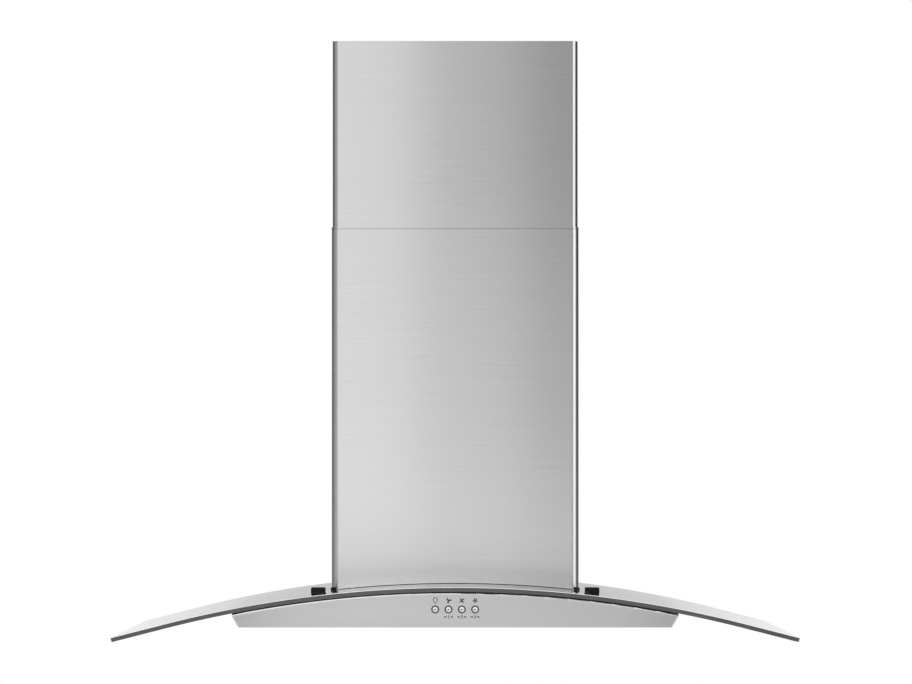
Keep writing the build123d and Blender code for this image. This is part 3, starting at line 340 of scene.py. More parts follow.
def brushed_steel(name, colour, roughness, along="X", finish=None):
    """Brushed stainless steel: long fine streaks along one axis, uneven in shade and roughness."""
    material = new_material(name, colour, 1.0, sum(roughness) / 2, Anisotropic=0.6)
    tree = material.node_tree
    shader = tree.nodes["Principled BSDF"]

    def grain(long_share, fine_share):
        """Streak noise, long along the grain and fine across it."""
        scale = {axis: STREAKS_ACROSS * fine_share for axis in "XYZ"}
        scale[along] = STREAKS_ALONG * long_share
        if along == "X":
            scale["Y"] = scale["X"]
        return stretched_noise(material, tuple(scale[axis] for axis in "XYZ"), STREAK_DETAIL)

    fine = math_node(material, "MULTIPLY", grain(1, 1), FINE_STREAK_SHARE)
    broad = math_node(material, "MULTIPLY", grain(*BROAD_STREAK_SCALES), 1 - FINE_STREAK_SHARE)
    streaks = math_node(material, "ADD", fine, broad)
    link(tree, map_range(material, streaks, *roughness), shader.inputs["Roughness"])
    tone = shaded(material, streaks, colour, *STREAK_SHADES, STREAK_RANGE)
    link(tree, finish(material, tone) if finish else tone, shader.inputs["Base Color"])
    grain_way = add_node(material, "ShaderNodeCombineXYZ")
    grain_way.inputs["Z" if along == "X" else "X"].default_value = 1
    link(tree, grain_way.outputs["Vector"], shader.inputs["Tangent"])
    bump(material, streaks, STREAK_STRENGTH, STREAK_DEPTH)
    return material


def blend_tone(material, factor, tone, other):
    """Tone that turns to another colour where the factor is one."""
    mix = add_node(material, "ShaderNodeMix", data_type="RGBA")
    link(material.node_tree, factor, mix.inputs[0])
    link(material.node_tree, tone, mix.inputs[6])
    mix.inputs[7].default_value = (*other, 1)
    return mix.outputs[2]


def painted_seam_shade(material, tone):
    """Painted shade: a dark line just under the lower cover's upper edge, at its seam with the upper cover.
    """
    place = add_node(material, "ShaderNodeTexCoord")
    split = add_node(material, "ShaderNodeSeparateXYZ")
    link(material.node_tree, place.outputs["Object"], split.inputs["Vector"])
    height = split.outputs["Z"]
    rise = map_range(material, height, 0, 1, COVER_TOP_Z - COVER_SHADE_START, COVER_TOP_Z - COVER_SHADE_FULL)
    fall = map_range(material, height, 1, 0, COVER_TOP_Z - COVER_SHADE_LAST, COVER_TOP_Z - COVER_SHADE_END)
    return blend_tone(material, math_node(material, "MULTIPLY", rise, fall), tone, COVER_SHADE_TONE)


def painted_fold_highlight(material, tone):
    """Painted highlight: a bright line along the fold between the body's front and its arched top."""
    tree = material.node_tree
    place = add_node(material, "ShaderNodeTexCoord")
    flat = add_node(material, "ShaderNodeVectorMath", operation="MULTIPLY_ADD")
    link(tree, place.outputs["Object"], flat.inputs[0])
    flat.inputs[1].default_value = (1, 0, 1)
    flat.inputs[2].default_value = (0, 0, GLASS_ARC_RADIUS - GLASS_CROWN_Z)
    reach = add_node(material, "ShaderNodeVectorMath", operation="LENGTH")
    link(tree, flat.outputs["Vector"], reach.inputs[0])
    top = GLASS_ARC_RADIUS - BODY_TOP_DEPTH
    line = map_range(material, reach.outputs["Value"], 0, 1, top - BODY_FOLD_FADE, top - BODY_FOLD)
    return blend_tone(material, line, tone, BODY_HIGHLIGHT_TONE)


def worn_metal(name, colour, low, high, spread=90):
    """Metal with cloudy variation in roughness and shade."""
    material = new_material(name, colour, 1.0, (low + high) / 2)
    tree = material.node_tree
    shader = tree.nodes["Principled BSDF"]
    cloud = stretched_noise(material, (spread,) * 3, METAL_DETAIL)
    link(tree, map_range(material, cloud, low, high), shader.inputs["Roughness"])
    link(tree, shaded(material, cloud, colour, METAL_DARK), shader.inputs["Base Color"])
    bump(material, cloud, METAL_BUMP, METAL_DEPTH)
    return material


def galvanised(name, colour):
    """Zinc-coated sheet with its crystal spangle."""
    material = new_material(name, colour, 1.0, sum(SPANGLE_ROUGHNESS) / 2)
    tree = material.node_tree
    shader = tree.nodes["Principled BSDF"]
    place = add_node(material, "ShaderNodeTexCoord")
    cells = add_node(material, "ShaderNodeTexVoronoi")
    cells.inputs["Scale"].default_value = SPANGLE_SCALE
    link(tree, place.outputs["Object"], cells.inputs["Vector"])
    grey = add_node(material, "ShaderNodeRGBToBW")
    link(tree, cells.outputs["Color"], grey.inputs["Color"])
    link(tree, map_range(material, grey.outputs["Val"], *SPANGLE_ROUGHNESS, 0, 1), shader.inputs["Roughness"])
    tone = shaded(material, grey.outputs["Val"], colour, SPANGLE_DARK, ends=SPANGLE_RANGE)
    link(tree, tone, shader.inputs["Base Color"])
    return material


def moulded(name, colour, roughness, grain=2600, depth=0.03, **sockets):
    """Moulded plastic or rubber with a fine grain."""
    material = new_material(name, colour, 0.0, roughness, **sockets)
    tree = material.node_tree
    shader = tree.nodes["Principled BSDF"]
    fine = stretched_noise(material, (grain,) * 3, MOULD_DETAIL)
    cloud = stretched_noise(material, (MOULD_SPREAD,) * 3, MOULD_DETAIL)
    low, high = (min(1, roughness * share) for share in MOULD_SPREAD_SHARES)
    link(tree, map_range(material, cloud, low, high), shader.inputs["Roughness"])
    link(tree, shaded(material, cloud, colour, MOULD_DARK), shader.inputs["Base Color"])
    bump(material, fine, MOULD_BUMP, depth * MM)
    return material


def clear_glass():
    """Clear float glass, its faces slightly smeared in places."""
    material = new_material("clear_glass", (0.96, 0.985, 0.98), 0.0, 0.02, IOR=1.5, Transmission_Weight=1.0)
    tree = material.node_tree
    shader = tree.nodes["Principled BSDF"]
    cloud = stretched_noise(material, (SMEAR_SCALE,) * 3, SMEAR_DETAIL)
    link(tree, map_range(material, cloud, *SMEAR_ROUGHNESS), shader.inputs["Roughness"])
    return material


def ground_edge_painted_dark():
    """Ground and polished edge of the glass, with painted shade: an opaque dark grey stands in for the
    darkness seen where one looks into the sheet.
    """
    material = new_material("ground_edge_painted_dark", (0.08, 0.085, 0.085), 0.0, 0.35, IOR=1.5)
    tree = material.node_tree
    shader = tree.nodes["Principled BSDF"]
    cloud = stretched_noise(material, EDGE_SCALES, MOULD_DETAIL)
    link(tree, map_range(material, cloud, *EDGE_ROUGHNESS), shader.inputs["Roughness"])
    stops = list(zip(NOISE_RANGE, (EDGE_DARK, EDGE_BRIGHT)))
    link(tree, colour_ramp(material, cloud, stops), shader.inputs["Base Color"])
    return material


STAINLESS = (0.72, 0.72, 0.715)
STEEL = brushed_steel("stainless", STAINLESS, BRUSHED_ROUGHNESS)
# The lower cover's steel carries the painted seam shade.
COVER_STEEL = brushed_steel("cover_stainless_painted_shade", STAINLESS, BRUSHED_ROUGHNESS, finish=painted_seam_shade)
# The body's steel carries the painted fold highlight.
BODY_STEEL = brushed_steel("body_stainless_painted_highlight", (0.66, 0.66, 0.655), BRUSHED_ROUGHNESS, finish=painted_fold_highlight)
PANEL = brushed_steel("panel_stainless", (0.68, 0.68, 0.675), PANEL_ROUGHNESS, along="Y")
GALVANISED = galvanised("galvanised", (0.62, 0.64, 0.66))
SCREW = worn_metal("zinc_screw", (0.66, 0.66, 0.68), 0.25, 0.42, 400)
ALUMINIUM = worn_metal("mill_aluminium", (0.78, 0.79, 0.80), 0.30, 0.48, 200)
LAMP_METAL = worn_metal("spun_aluminium", (0.72, 0.72, 0.73), 0.24, 0.36, 150)
CHROME = worn_metal("satin_chrome", (0.86, 0.86, 0.87), 0.16, 0.26, 300)
RUBBER = moulded("black_rubber", (0.008, 0.008, 0.008), 0.8, 1800, 0.05, Specular_IOR_Level=0.2)
BLACK = moulded("black_moulding", (0.007, 0.007, 0.0075), 0.55, Specular_IOR_Level=0.25)
DARK_RING = moulded("dark_ring", (0.018, 0.018, 0.02), 0.30)
CREAM = moulded("cream_moulding", (0.72, 0.70, 0.62), 0.45)
SHELL = moulded("capacitor_shell", (0.66, 0.66, 0.62), 0.35)
BOARD = moulded("circuit_board", (0.02, 0.16, 0.06), 0.35)
MOTOR = moulded("motor_paint", (0.045, 0.046, 0.05), 0.42, 1500)
LATCH = moulded("latch_plastic", (0.06, 0.06, 0.063), 0.45)
PRINT = moulded("grey_print", (0.035, 0.035, 0.037), 0.55)
GLASS = clear_glass()
EDGE = ground_edge_painted_dark()
# Painted highlight: the glass's upper arris gets an opaque near-white colour that stands in for the light it
# catches.
ARRIS_HIGHLIGHT = moulded("painted_arris_highlight", (0.86, 0.88, 0.87), 0.25, 900)
LENS = moulded("frosted_lens", (0.86, 0.87, 0.86), 0.35, 3000, 0.02, Transmission_Weight=0.5)

SLOT_MATERIALS = {
    "canopy_glass": GLASS,
    "brushed_steel": STEEL,
    "panel_steel": PANEL,
    "black_rubber": RUBBER,
    "black_plastic": BLACK,
    "screw_steel": SCREW,
    "galvanised_steel": GALVANISED,
    "motor_paint": MOTOR,
    "capacitor_shell": SHELL,
    "damper_metal": ALUMINIUM,
    "white_plastic": CREAM,
    "button_ring": DARK_RING,
    "button_cap": CHROME,
    "board_green": BOARD,
    "filter_aluminium": ALUMINIUM,
    "latch_plastic": LATCH,
    "lamp_metal": LAMP_METAL,
    "lamp_ring": CHROME,
    "lamp_glass": LENS,
}
NODE_MATERIALS = {"chimney_lower": COVER_STEEL, "hood_body": BODY_STEEL}


def dress_frame():
    """Give each CAD node the material of its slot."""
    slots = {part["node"]: part["material_slot"] for part in frame["record"]["subparts"]}
    for name, piece in nodes.items():
        piece.data.materials.clear()
        piece.data.materials.append(NODE_MATERIALS.get(name, SLOT_MATERIALS[slots[name]]))


def new_piece(name, data, body, slot, *materials, angle=35):
    """Object from a mesh, smooth up to an angle, riding on a body, with its materials."""
    piece = bpy.data.objects.new(name, data)
    bpy.context.scene.collection.objects.link(piece)
    for material in materials:
        data.materials.append(material)
    data.shade_smooth()
    data.set_sharp_from_angle(angle=math.radians(angle))
    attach(piece, body)
    return piece


def mesh_from(build, name):
    """Mesh data from a bmesh."""
    bmesh.ops.recalc_face_normals(build, faces=build.faces)
    data = bpy.data.meshes.new(name)
    build.to_mesh(data)
    build.free()
    return data


def cut_away(data, build, name):
    """Mesh data less what a bmesh takes away."""
    whole = bpy.data.objects.new("whole", data)
    cutter = bpy.data.objects.new("cutter", mesh_from(build, "cutter"))
    for piece in (whole, cutter):
        bpy.context.scene.collection.objects.link(piece)
    cut = whole.modifiers.new("cut", "BOOLEAN")
    cut.object = cutter
    cut.solver = "EXACT"
    cut.use_self = True
    shape = bpy.data.meshes.new_from_object(whole.evaluated_get(bpy.context.evaluated_depsgraph_get()))
    shape.name = name
    bpy.data.objects.remove(whole)
    bpy.data.objects.remove(cutter)
    return shape


def quarter_round(x, y, radius, start, steps=6):
    """Plan points of a quarter round about a centre, from a start angle in degrees."""
    angles = [math.radians(start + 90 * step / steps) for step in range(steps + 1)]
    return [(x + radius * math.cos(angle), y + radius * math.sin(angle)) for angle in angles]


def bend(u, depth):
    """X and Z of a point u along the unrolled glass, at a depth under its top."""
    side = -1 if u < 0 else 1
    radius = GLASS_ARC_RADIUS - depth
    angle = min(abs(u) / GLASS_ARC_RADIUS, GLASS_END_ANGLE)
    past = abs(u) - GLASS_ARC_RADIUS * angle
    x = radius * math.sin(angle) + past * math.cos(angle)
    z = GLASS_CROWN_Z - GLASS_ARC_RADIUS + radius * math.cos(angle) - past * math.sin(angle)
    return side * x, z


def glass_outline(inset, half):
    """Plan outline of the unrolled sheet with its rear notch, inset all round."""
    front = inset - GLASS_DEPTH
    side = half - inset
    rear = -inset
    notch_x = NOTCH_HALF + inset
    notch_y = -NOTCH_DEPTH - inset
    corner = GLASS_CORNER - inset
    notch_corner = NOTCH_CORNER + inset
    points = quarter_round(-side + corner, front + corner, corner, 180)
    points += quarter_round(side - corner, front + corner, corner, 270)
    points += [(side, rear), (notch_x, rear)]
    points += quarter_round(notch_x - notch_corner, notch_y + notch_corner, notch_corner, 270)[::-1]
    points += quarter_round(-notch_x + notch_corner, notch_y + notch_corner, notch_corner, 180)[::-1]
    points += [(-notch_x, rear), (-side, rear)]
    return points


def canopy_glass():
    """The glass: a flat slab with ground edges and arrises, cut into strips and bent over the arch."""
    arc_length = GLASS_ARC_RADIUS * GLASS_END_ANGLE
    half = arc_length + GLASS_END_FLAT / math.cos(GLASS_END_ANGLE)
    slab = bmesh.new()
    rings = []
    levels = ((GLASS_ARRIS, 0), (0, GLASS_ARRIS), (0, GLASS_THICKNESS - GLASS_ARRIS),
              (GLASS_ARRIS, GLASS_THICKNESS))
    for inset, depth in levels:
        rings.append([slab.verts.new((u, y, -depth)) for u, y in glass_outline(inset, half)])
    for level, (upper, lower) in enumerate(zip(rings, rings[1:])):
        for index, corner in enumerate(upper):
            following = (index + 1) % len(upper)
            wall = slab.faces.new((corner, upper[following], lower[following], lower[index]))
            # The upper arris takes the painted arris highlight, the other walls the edge's painted shade.
            wall.material_index = 2 if level == 0 else 1
    slab.faces.new(rings[0])
    slab.faces.new(rings[-1][::-1])
    stations = [half * (2 * step / GLASS_STRIPS - 1) for step in range(1, GLASS_STRIPS)]
    for station in stations + [-arc_length, arc_length]:
        every = slab.verts[:] + slab.edges[:] + slab.faces[:]
        bmesh.ops.bisect_plane(slab, geom=every, plane_co=(station, 0, 0), plane_no=(1, 0, 0))
    for vertex in slab.verts:
        x, z = bend(vertex.co.x, -vertex.co.z)
        vertex.co = (x, vertex.co.y, z)
    sheet = mesh_from(slab, "canopy_sheet")
    for material in (GLASS, EDGE, ARRIS_HIGHLIGHT):
        sheet.materials.append(material)
    holes = bmesh.new()
    for low, high in solid_boxes("glass_bushes"):
        bmesh.ops.create_cone(holes, cap_ends=True, segments=CLAMP_HOLE_STEPS, radius1=CLAMP_HOLE_RADIUS,
                              radius2=CLAMP_HOLE_RADIUS, depth=4 * GLASS_THICKNESS,
                              matrix=Matrix.Translation((low + high) / 2))
    for face in holes.faces:
        face.material_index = 1
    piece = new_piece("canopy_glass", cut_away(sheet, holes, "canopy_glass"), "root", "canopy_glass",
                      angle=GLASS_SMOOTH_ANGLE)
    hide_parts("glass_panel")


def lathe(build, centre, profile, steps=64, material_of=None):
    """Turn a profile of radius and reach along +Y about an axis through a centre."""
    rings = []
    for radius, reach in profile:
        if radius == 0:
            rings.append([build.verts.new((centre[0], centre[1] + reach, centre[2]))])
            continue
        ring = []
        for step in range(steps):
            angle = 2 * math.pi * step / steps
            ring.append(build.verts.new((centre[0] + radius * math.cos(angle), centre[1] + reach,
                                         centre[2] + radius * math.sin(angle))))
        rings.append(ring)
    for place, (first, second) in enumerate(zip(rings, rings[1:])):
        for step in range(steps):
            following = (step + 1) % steps
            if len(first) == 1:
                corners = (first[0], second[step], second[following])
            elif len(second) == 1:
                corners = (first[step], first[following], second[0])
            else:
                corners = (first[step], first[following], second[following], second[step])
            face = build.faces.new(corners)
            if material_of:
                face.material_index = material_of[place]


def round_nose(radius, reach, corner, steps=5):
    """Profile points of a rounded outer corner that faces -Y."""
    points = []
    for step in range(steps + 1):
        angle = math.radians(90 * step / steps)
        points.append((radius - corner + corner * math.sin(angle), reach + corner - corner * math.cos(angle)))
    return points


def buttons():
    """Four push buttons: dark rings round bright dished caps with a dark centre."""
    rings = bmesh.new()
    for x in BUTTON_XS:
        centre = (x, BODY_FRONT_Y, BUTTON_Z)
        profile = [(BEZEL_BORE, BEZEL_NECK), (BEZEL_BORE, -BEZEL_BORE_SHARE * BEZEL_PROUD)]
        profile += [(BEZEL_BORE + BEZEL_LIP, -BEZEL_LIP_SHARE * BEZEL_PROUD)]
        profile += round_nose(BEZEL_RADIUS, -BEZEL_PROUD, BEZEL_ROUND)
        profile += [(BEZEL_RADIUS, 0), (BEZEL_NECK_RADIUS, 0), (BEZEL_NECK_RADIUS, BEZEL_NECK),
                    (BEZEL_BORE, BEZEL_NECK)]
        lathe(rings, centre, profile)
    bmesh.ops.remove_doubles(rings, verts=rings.verts, dist=TINY)
    piece = new_piece("button_rings", mesh_from(rings, "button_rings"), "root", "button_ring", DARK_RING)
    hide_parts("button_bezels")
    for name, x in zip(BUTTON_NAMES, BUTTON_XS):
        cap = bmesh.new()
        face = -CAP_PROUD
        profile = [(0, face + DIMPLE_DEPTH), (DIMPLE_RADIUS * DIMPLE_FLOOR_SHARE, face + DIMPLE_FLOOR_DEPTH)]
        profile += [(DIMPLE_RADIUS, face + DIMPLE_RIM_DEPTH)]
        profile += [(CAP_RADIUS * DISH_MIDDLE_SHARE, face + DISH_MIDDLE_DEPTH)]
        profile += [(CAP_RADIUS * DISH_RIM_SHARE, face + DISH_RIM_DEPTH)]
        profile += round_nose(CAP_RADIUS, face, CAP_ROUND)
        back = face + CAP_LENGTH
        profile += [(CAP_RADIUS, back), (CAP_STEM_RADIUS, back), (CAP_STEM_RADIUS, back + CAP_STEM),
                    (0, back + CAP_STEM)]
        dark = [1] * DIMPLE_BANDS + [0] * (len(profile) - 1 - DIMPLE_BANDS)
        lathe(cap, (x, BODY_FRONT_Y, BUTTON_Z), profile, material_of=dark)
        piece = new_piece(f"cap_{name}", mesh_from(cap, f"cap_{name}"), f"{name}_button", "button_cap",
                          CHROME, DARK_RING)
        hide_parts(f"button_{name}")


def flat_shape(build, points):
    """One printed shape on the front panel, from points in X and Z."""
    front = BODY_FRONT_Y - PRINT_HEIGHT
    build.faces.new([build.verts.new((x, front, z)) for x, z in points])


def ring_shape(build, x, z, radius, width, start=0, end=360, steps=32):
    """Printed ring or arc about a centre."""
    for step in range(steps):
        turns = [math.radians(start + (end - start) * (step + add) / steps) for add in (0, 1)]
        inner = [(x + radius * math.cos(turn), z + radius * math.sin(turn)) for turn in turns]
        reach = radius + width
        outer = [(x + reach * math.cos(turn), z + reach * math.sin(turn)) for turn in turns]
        flat_shape(build, [inner[0], outer[0], outer[1], inner[1]])


def bar_shape(build, x, z, half_width, half_height):
    """Printed bar about a centre."""
    low, high = z - half_height, z + half_height
    left, right = x - half_width, x + half_width
    flat_shape(build, [(left, low), (right, low), (right, high), (left, high)])


def bulb_icon(build, x, z):
    """Outline of a light bulb: an open ring over a small cap."""
    ring_shape(build, x, z + BULB_RISE, BULB_RADIUS, BULB_LINE, -BULB_OPEN_ANGLE, 180 + BULB_OPEN_ANGLE)
    for row in range(2):
        bar_shape(build, x, z - BULB_RADIUS - row * 2 * BULB_LINE, BULB_RADIUS / (2 + row), BULB_LINE / 2)


def fan_icon(build, x, z, blades, size):
    """Fan symbol: curved blades round a hub, more of them for a faster speed."""
    hub = size * HUB_SHARE
    ring_shape(build, x, z, 0, hub)
    sweep = 2 * math.pi / blades
    for index in range(blades):
        outer, inner = [], []
        for step in range(BLADE_STEPS + 1):
            turn = math.pi / 2 + sweep * (index + BLADE_SHARE * step / BLADE_STEPS)
            swell = math.sin(math.pi * step / BLADE_STEPS)
            reach = size * (NECK_SHARE + (1 - NECK_SHARE) * swell)
            outer.append((x + reach * math.cos(turn), z + reach * math.sin(turn)))
            inner.append((x + hub * math.cos(turn), z + hub * math.sin(turn)))
        flat_shape(build, outer + inner[::-1])


def front_print():
    """Small grey symbols above the buttons and plain speed numbers between dashes below three."""
    build = bmesh.new()
    z = BUTTON_Z + ICON_RISE
    bulb_icon(build, BUTTON_XS[0], z)
    for x, blades in zip(BUTTON_XS[1:], (3, 4, 5)):
        fan_icon(build, x, z, blades, FAN_RADIUS)
        for side in (-1, 1):
            bar_shape(build, x + side * DASH_REACH, BUTTON_Z - LABEL_DROP, DASH_HALF, DASH_LINE / 2)
    new_piece("printed_icons", mesh_from(build, "printed_icons"), "root", None, PRINT)
    for number, x in zip("123", BUTTON_XS[1:]):
        curve = bpy.data.curves.new(f"number_{number}", "FONT")
        curve.body = number
        curve.size = NUMBER_SIZE
        curve.offset = NUMBER_WEIGHT
        curve.align_x = "CENTER"
        curve.align_y = "CENTER"
        curve.extrude = PRINT_HEIGHT / 2
        text = bpy.data.objects.new(f"number_{number}_text", curve)
        bpy.context.scene.collection.objects.link(text)
        shape = bpy.data.meshes.new_from_object(text)
        bpy.data.objects.remove(text)
        shape.transform(Matrix.Translation((x, BODY_FRONT_Y - PRINT_HEIGHT / 2, BUTTON_Z - LABEL_DROP))
                        @ Matrix.Rotation(math.radians(90), 4, "X"))
        shape.name = f"number_{number}"
        new_piece(f"number_{number}", shape, "root", None, PRINT)


def solid_boxes(name):
    """Low and high corners of each separate solid of a CAD node."""
    piece = nodes[name]
    build = bmesh.new()
    build.from_mesh(piece.data)
    build.transform(piece.matrix_world)
    bmesh.ops.remove_doubles(build, verts=build.verts, dist=MERGE)
    left = set(build.verts)
    boxes = []
    for start in build.verts:
        if start not in left:
            continue
        left.remove(start)
        stack = [start]
        group = []
        while stack:
            vertex = stack.pop()
            group.append(vertex.co.copy())
            for edge in vertex.link_edges:
                other = edge.other_vert(vertex)
                if other in left:
                    left.remove(other)
                    stack.append(other)
        low = Vector([min(point[axis] for point in group) for axis in range(3)])
        high = Vector([max(point[axis] for point in group) for axis in range(3)])
        boxes.append((low, high))
    build.free()
    return boxes


def screw_mesh():
    """Pan-head screw that looks along +Y, its head to -Y with a cross recess and a shank behind."""
    build = bmesh.new()
    profile = [(0, -HEAD_HEIGHT), (HEAD_RADIUS * HEAD_FLAT_SHARE, -HEAD_HEIGHT * HEAD_CROWN_SHARE)]
    profile += round_nose(HEAD_RADIUS, -HEAD_HEIGHT * HEAD_SHOULDER_SHARE, HEAD_HEIGHT * HEAD_ROUND_SHARE)
    profile += [(HEAD_RADIUS, 0), (SHANK_RADIUS, 0), (SHANK_RADIUS, SHANK_LENGTH), (0, SHANK_LENGTH)]
    lathe(build, (0, 0, 0), profile, 40)
    cross = bmesh.new()
    for long_axis in (0, 2):
        size = [RECESS_WIDTH] * 3
        size[1] = 2 * RECESS_DEPTH
        size[long_axis] = 2 * RECESS_REACH
        bmesh.ops.create_cube(cross, size=1, matrix=Matrix.Translation((0, -HEAD_HEIGHT, 0))
                              @ Matrix.Diagonal((*size, 1)))
    return cut_away(mesh_from(build, "screw_body"), cross, "screw")


def screws():
    """Cross-head screws in the places of the CAD's plain ones."""
    shape = screw_mesh()
    for node, body, axis, way in (("cover_screws", "root", 1, 1), ("box_screws", "root", 2, 1),
                                  ("collar_screws", "root", 2, -1), ("panel_screws", "root", 2, 1),
                                  ("bracket_screws", "upper_cover", 0, 0)):
        build = bmesh.new()
        for index, (low, high) in enumerate(solid_boxes(node)):
            centre = (low + high) / 2
            along = Vector((0, 0, 0))
            along[axis] = way or (-1 if centre.x > 0 else 1)
            end = low if along[axis] > 0 else high
            seat = centre.copy()
            seat[axis] = end[axis] + along[axis] * HEAD_HEIGHT
            turn = Vector((0, 1, 0)).rotation_difference(along).to_matrix().to_4x4()
            spin = Matrix.Rotation(SCREW_TURN + index, 4, "Y")
            copy = shape.copy()
            copy.transform(Matrix.Translation(seat) @ turn @ spin)
            build.from_mesh(copy)
            bpy.data.meshes.remove(copy)
        piece = new_piece(f"cross_{node}", mesh_from(build, f"cross_{node}"), body, "screw_steel", SCREW)
        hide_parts(node)
    bpy.data.meshes.remove(shape)


def expanded_mesh(name):
    """Layers of fine expanded aluminium in one filter, in place of the CAD's coarse mesh."""
    low, high = solid_boxes(f"filter_mesh_{name}")[0]
    middle_z = (low.z + high.z) / 2
    build = bmesh.new()
    for layer in (-1, 0, 1):
        z = middle_z + layer * MESH_LAYER_GAP / 2
        shift_x = layer * MESH_PITCH_X * MESH_LAYER_SHARE
        columns = int((high.x - low.x) / MESH_PITCH_X) - 1
        rows = int((high.y - low.y) / MESH_PITCH_Y) - 1
        start_x = (low.x + high.x - columns * MESH_PITCH_X) / 2 + shift_x
        start_y = (low.y + high.y - rows * MESH_PITCH_Y) / 2
        for row in range(2 * rows):
            for column in range(columns):
                x = start_x + (column + (0.5 if row % 2 else 0) + 0.25) * MESH_PITCH_X
                y = start_y + (row + 0.5) * MESH_PITCH_Y / 2
                outer = [(MESH_PITCH_X / 2, 0), (0, MESH_PITCH_Y / 2), (-MESH_PITCH_X / 2, 0),
                         (0, -MESH_PITCH_Y / 2)]
                inner_x = 1 - 2 * STRAND / MESH_PITCH_X
                inner_y = 1 - STRAND / MESH_PITCH_Y
                ring = [build.verts.new((x + dx, y + dy, z)) for dx, dy in outer]
                hole = [build.verts.new((x + dx * inner_x, y + dy * inner_y, z + STRAND_LIFT))
                        for dx, dy in outer]
                for corner in range(4):
                    following = (corner + 1) % 4
                    build.faces.new((ring[corner], ring[following], hole[following], hole[corner]))
    bmesh.ops.remove_doubles(build, verts=build.verts, dist=MERGE)
    piece = new_piece(f"fine_mesh_{name}", mesh_from(build, f"fine_mesh_{name}"), f"{name}_filter",
                      "filter_aluminium", ALUMINIUM)
    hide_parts(f"filter_mesh_{name}")


def world():
    """White to the camera and through glass, and a bright and dark surround for glossy faces."""
    surround = bpy.data.worlds.new("studio")
    bpy.context.scene.world = surround
    surround.use_nodes = True
    tree = surround.node_tree
    tree.nodes.clear()
    output = add_node(surround, "ShaderNodeOutputWorld")
    path = add_node(surround, "ShaderNodeLightPath")
    place = add_node(surround, "ShaderNodeTexCoord")
    split = add_node(surround, "ShaderNodeSeparateXYZ")
    link(tree, place.outputs["Generated"], split.inputs["Vector"])
    toward = math_node(surround, "MULTIPLY", split.outputs["Y"], -1)
    azimuth = math_node(surround, "ARCTAN2", split.outputs["X"], toward)
    share = math_node(surround, "MULTIPLY_ADD", azimuth, 1 / (2 * math.pi))
    share.node.inputs[2].default_value = 0.5
    peak = max(strength for degrees, strength in GLOSS_ROUND)
    stops = [((degrees + 180) / 360, (strength / peak,) * 3) for degrees, strength in GLOSS_ROUND]
    ring = colour_ramp(surround, share, stops)
    sky = add_node(surround, "ShaderNodeMapRange")
    sky.inputs["From Min"].default_value = SKY_START
    sky.inputs["From Max"].default_value = SKY_FULL
    link(tree, split.outputs["Z"], sky.inputs["Value"])
    round_and_above = add_node(surround, "ShaderNodeMix", data_type="RGBA")
    link(tree, sky.outputs["Result"], round_and_above.inputs[0])
    link(tree, ring, round_and_above.inputs[6])
    round_and_above.inputs[7].default_value = (*SKY_TONE, 1)

    def background(colour, strength):
        """World light of one colour, from a socket or plain."""
        light = add_node(surround, "ShaderNodeBackground")
        light.inputs["Strength"].default_value = strength
        if colour:
            link(tree, colour, light.inputs["Color"])
        else:
            light.inputs["Color"].default_value = (1, 1, 1, 1)
        return light.outputs["Background"]

    def choose(factor, first, second):
        """Second light where the factor is one."""
        mix = add_node(surround, "ShaderNodeMixShader")
        link(tree, factor, mix.inputs["Fac"])
        link(tree, first, mix.inputs[1])
        link(tree, second, mix.inputs[2])
        return mix.outputs["Shader"]

    glossy = choose(path.outputs["Is Glossy Ray"], background(None, DIFFUSE_STRENGTH),
                    background(round_and_above.outputs[2], peak))
    plain = math_node(surround, "MAXIMUM", path.outputs["Is Camera Ray"], path.outputs["Is Transmission Ray"])
    link(tree, choose(plain, glossy, background(None, WHITE_STRENGTH)), output.inputs["Surface"])


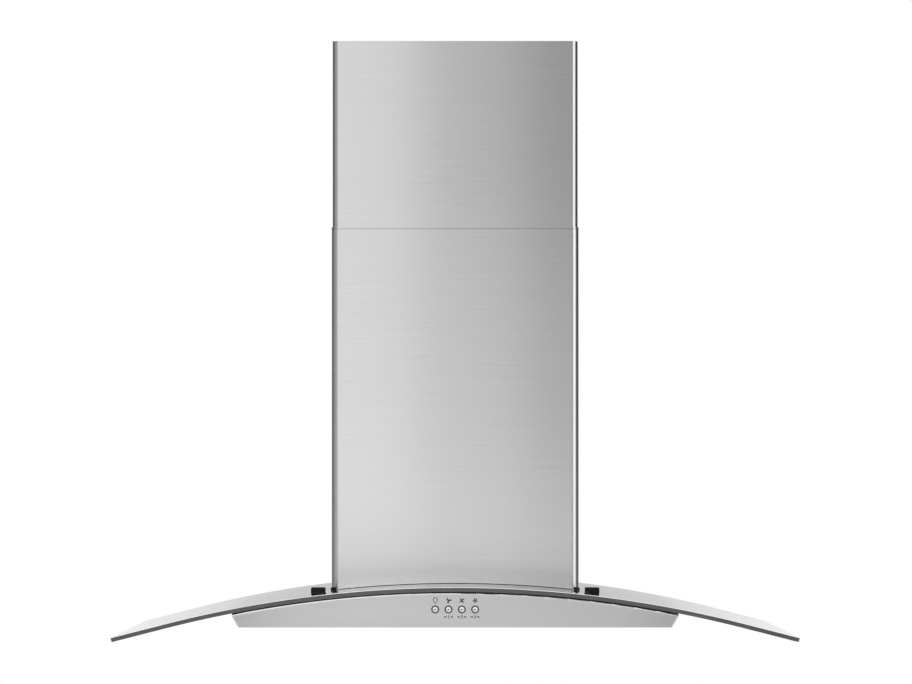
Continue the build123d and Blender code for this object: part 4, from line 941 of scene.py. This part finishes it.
def floor():
    """Floor far below that looks white, keeps the shadow and is clear from underneath."""
    bpy.ops.mesh.primitive_plane_add(size=2 * FLOOR_HALF, location=(0, 0, FLOOR_Z))
    piece = bpy.context.object
    piece.name = "floor"
    material = new_material("pale_floor", (FLOOR_TONE,) * 3, 0.0, FLOOR_ROUGHNESS)
    tree = material.node_tree
    path = add_node(material, "ShaderNodeLightPath")
    seen = math_node(material, "MAXIMUM", path.outputs["Is Camera Ray"], path.outputs["Is Transmission Ray"])
    lift = math_node(material, "MULTIPLY", seen, FLOOR_LIFT)
    surface = tree.nodes["Principled BSDF"]
    surface.inputs["Emission Color"].default_value = (1, 1, 1, 1)
    link(tree, lift, surface.inputs["Emission Strength"])
    clear = add_node(material, "ShaderNodeBsdfTransparent")
    side = add_node(material, "ShaderNodeNewGeometry")
    mix = add_node(material, "ShaderNodeMixShader")
    link(tree, side.outputs["Backfacing"], mix.inputs["Fac"])
    link(tree, surface.outputs["BSDF"], mix.inputs[1])
    link(tree, clear.outputs["BSDF"], mix.inputs[2])
    link(tree, mix.outputs["Shader"], tree.nodes["Material Output"].inputs["Surface"])
    piece.data.materials.append(material)


def area_light(name, place, target, width, height, power):
    """Soft lamp aimed at a point and unseen by the camera."""
    data = bpy.data.lights.new(name, "AREA")
    data.energy = power
    data.shape = "RECTANGLE"
    data.size = width
    data.size_y = height
    lamp = bpy.data.objects.new(name, data)
    bpy.context.scene.collection.objects.link(lamp)
    lamp.location = place
    lamp.rotation_euler = (Vector(target) - Vector(place)).to_track_quat("-Z", "Y").to_euler()
    lamp.visible_camera = False
    lamp.visible_transmission = False
    return lamp


def lights():
    """Softboxes in front of the hood and a large lamp above that glossy surfaces don't mirror."""
    for name, place, width, height, power in SOFTBOXES:
        area_light(name, place, (place[0], 0, place[2]), width, height, power)
    above = area_light("above", TOP_LAMP_PLACE, TOP_LAMP_TARGET, TOP_LAMP_SIZE, TOP_LAMP_SIZE, TOP_LAMP_POWER)
    above.visible_glossy = False


def camera():
    """Level camera at the photograph's distance."""
    data = bpy.data.cameras.new("camera")
    data.lens = LENS_MM
    data.sensor_width = SENSOR_MM
    data.shift_x = SHIFT_X
    data.shift_y = SHIFT_Y
    data.clip_end = CAMERA_REACH
    view = bpy.data.objects.new("camera", data)
    bpy.context.scene.collection.objects.link(view)
    view.location = (0, CAMERA_Y, CAMERA_Z)
    view.rotation_euler = (math.radians(90), 0, 0)
    bpy.context.scene.camera = view


bpy.context.scene.view_settings.view_transform = "Standard"
dress_frame()
canopy_glass()
buttons()
front_print()
screws()
expanded_mesh("left")
expanded_mesh("right")
world()
floor()
lights()
camera()
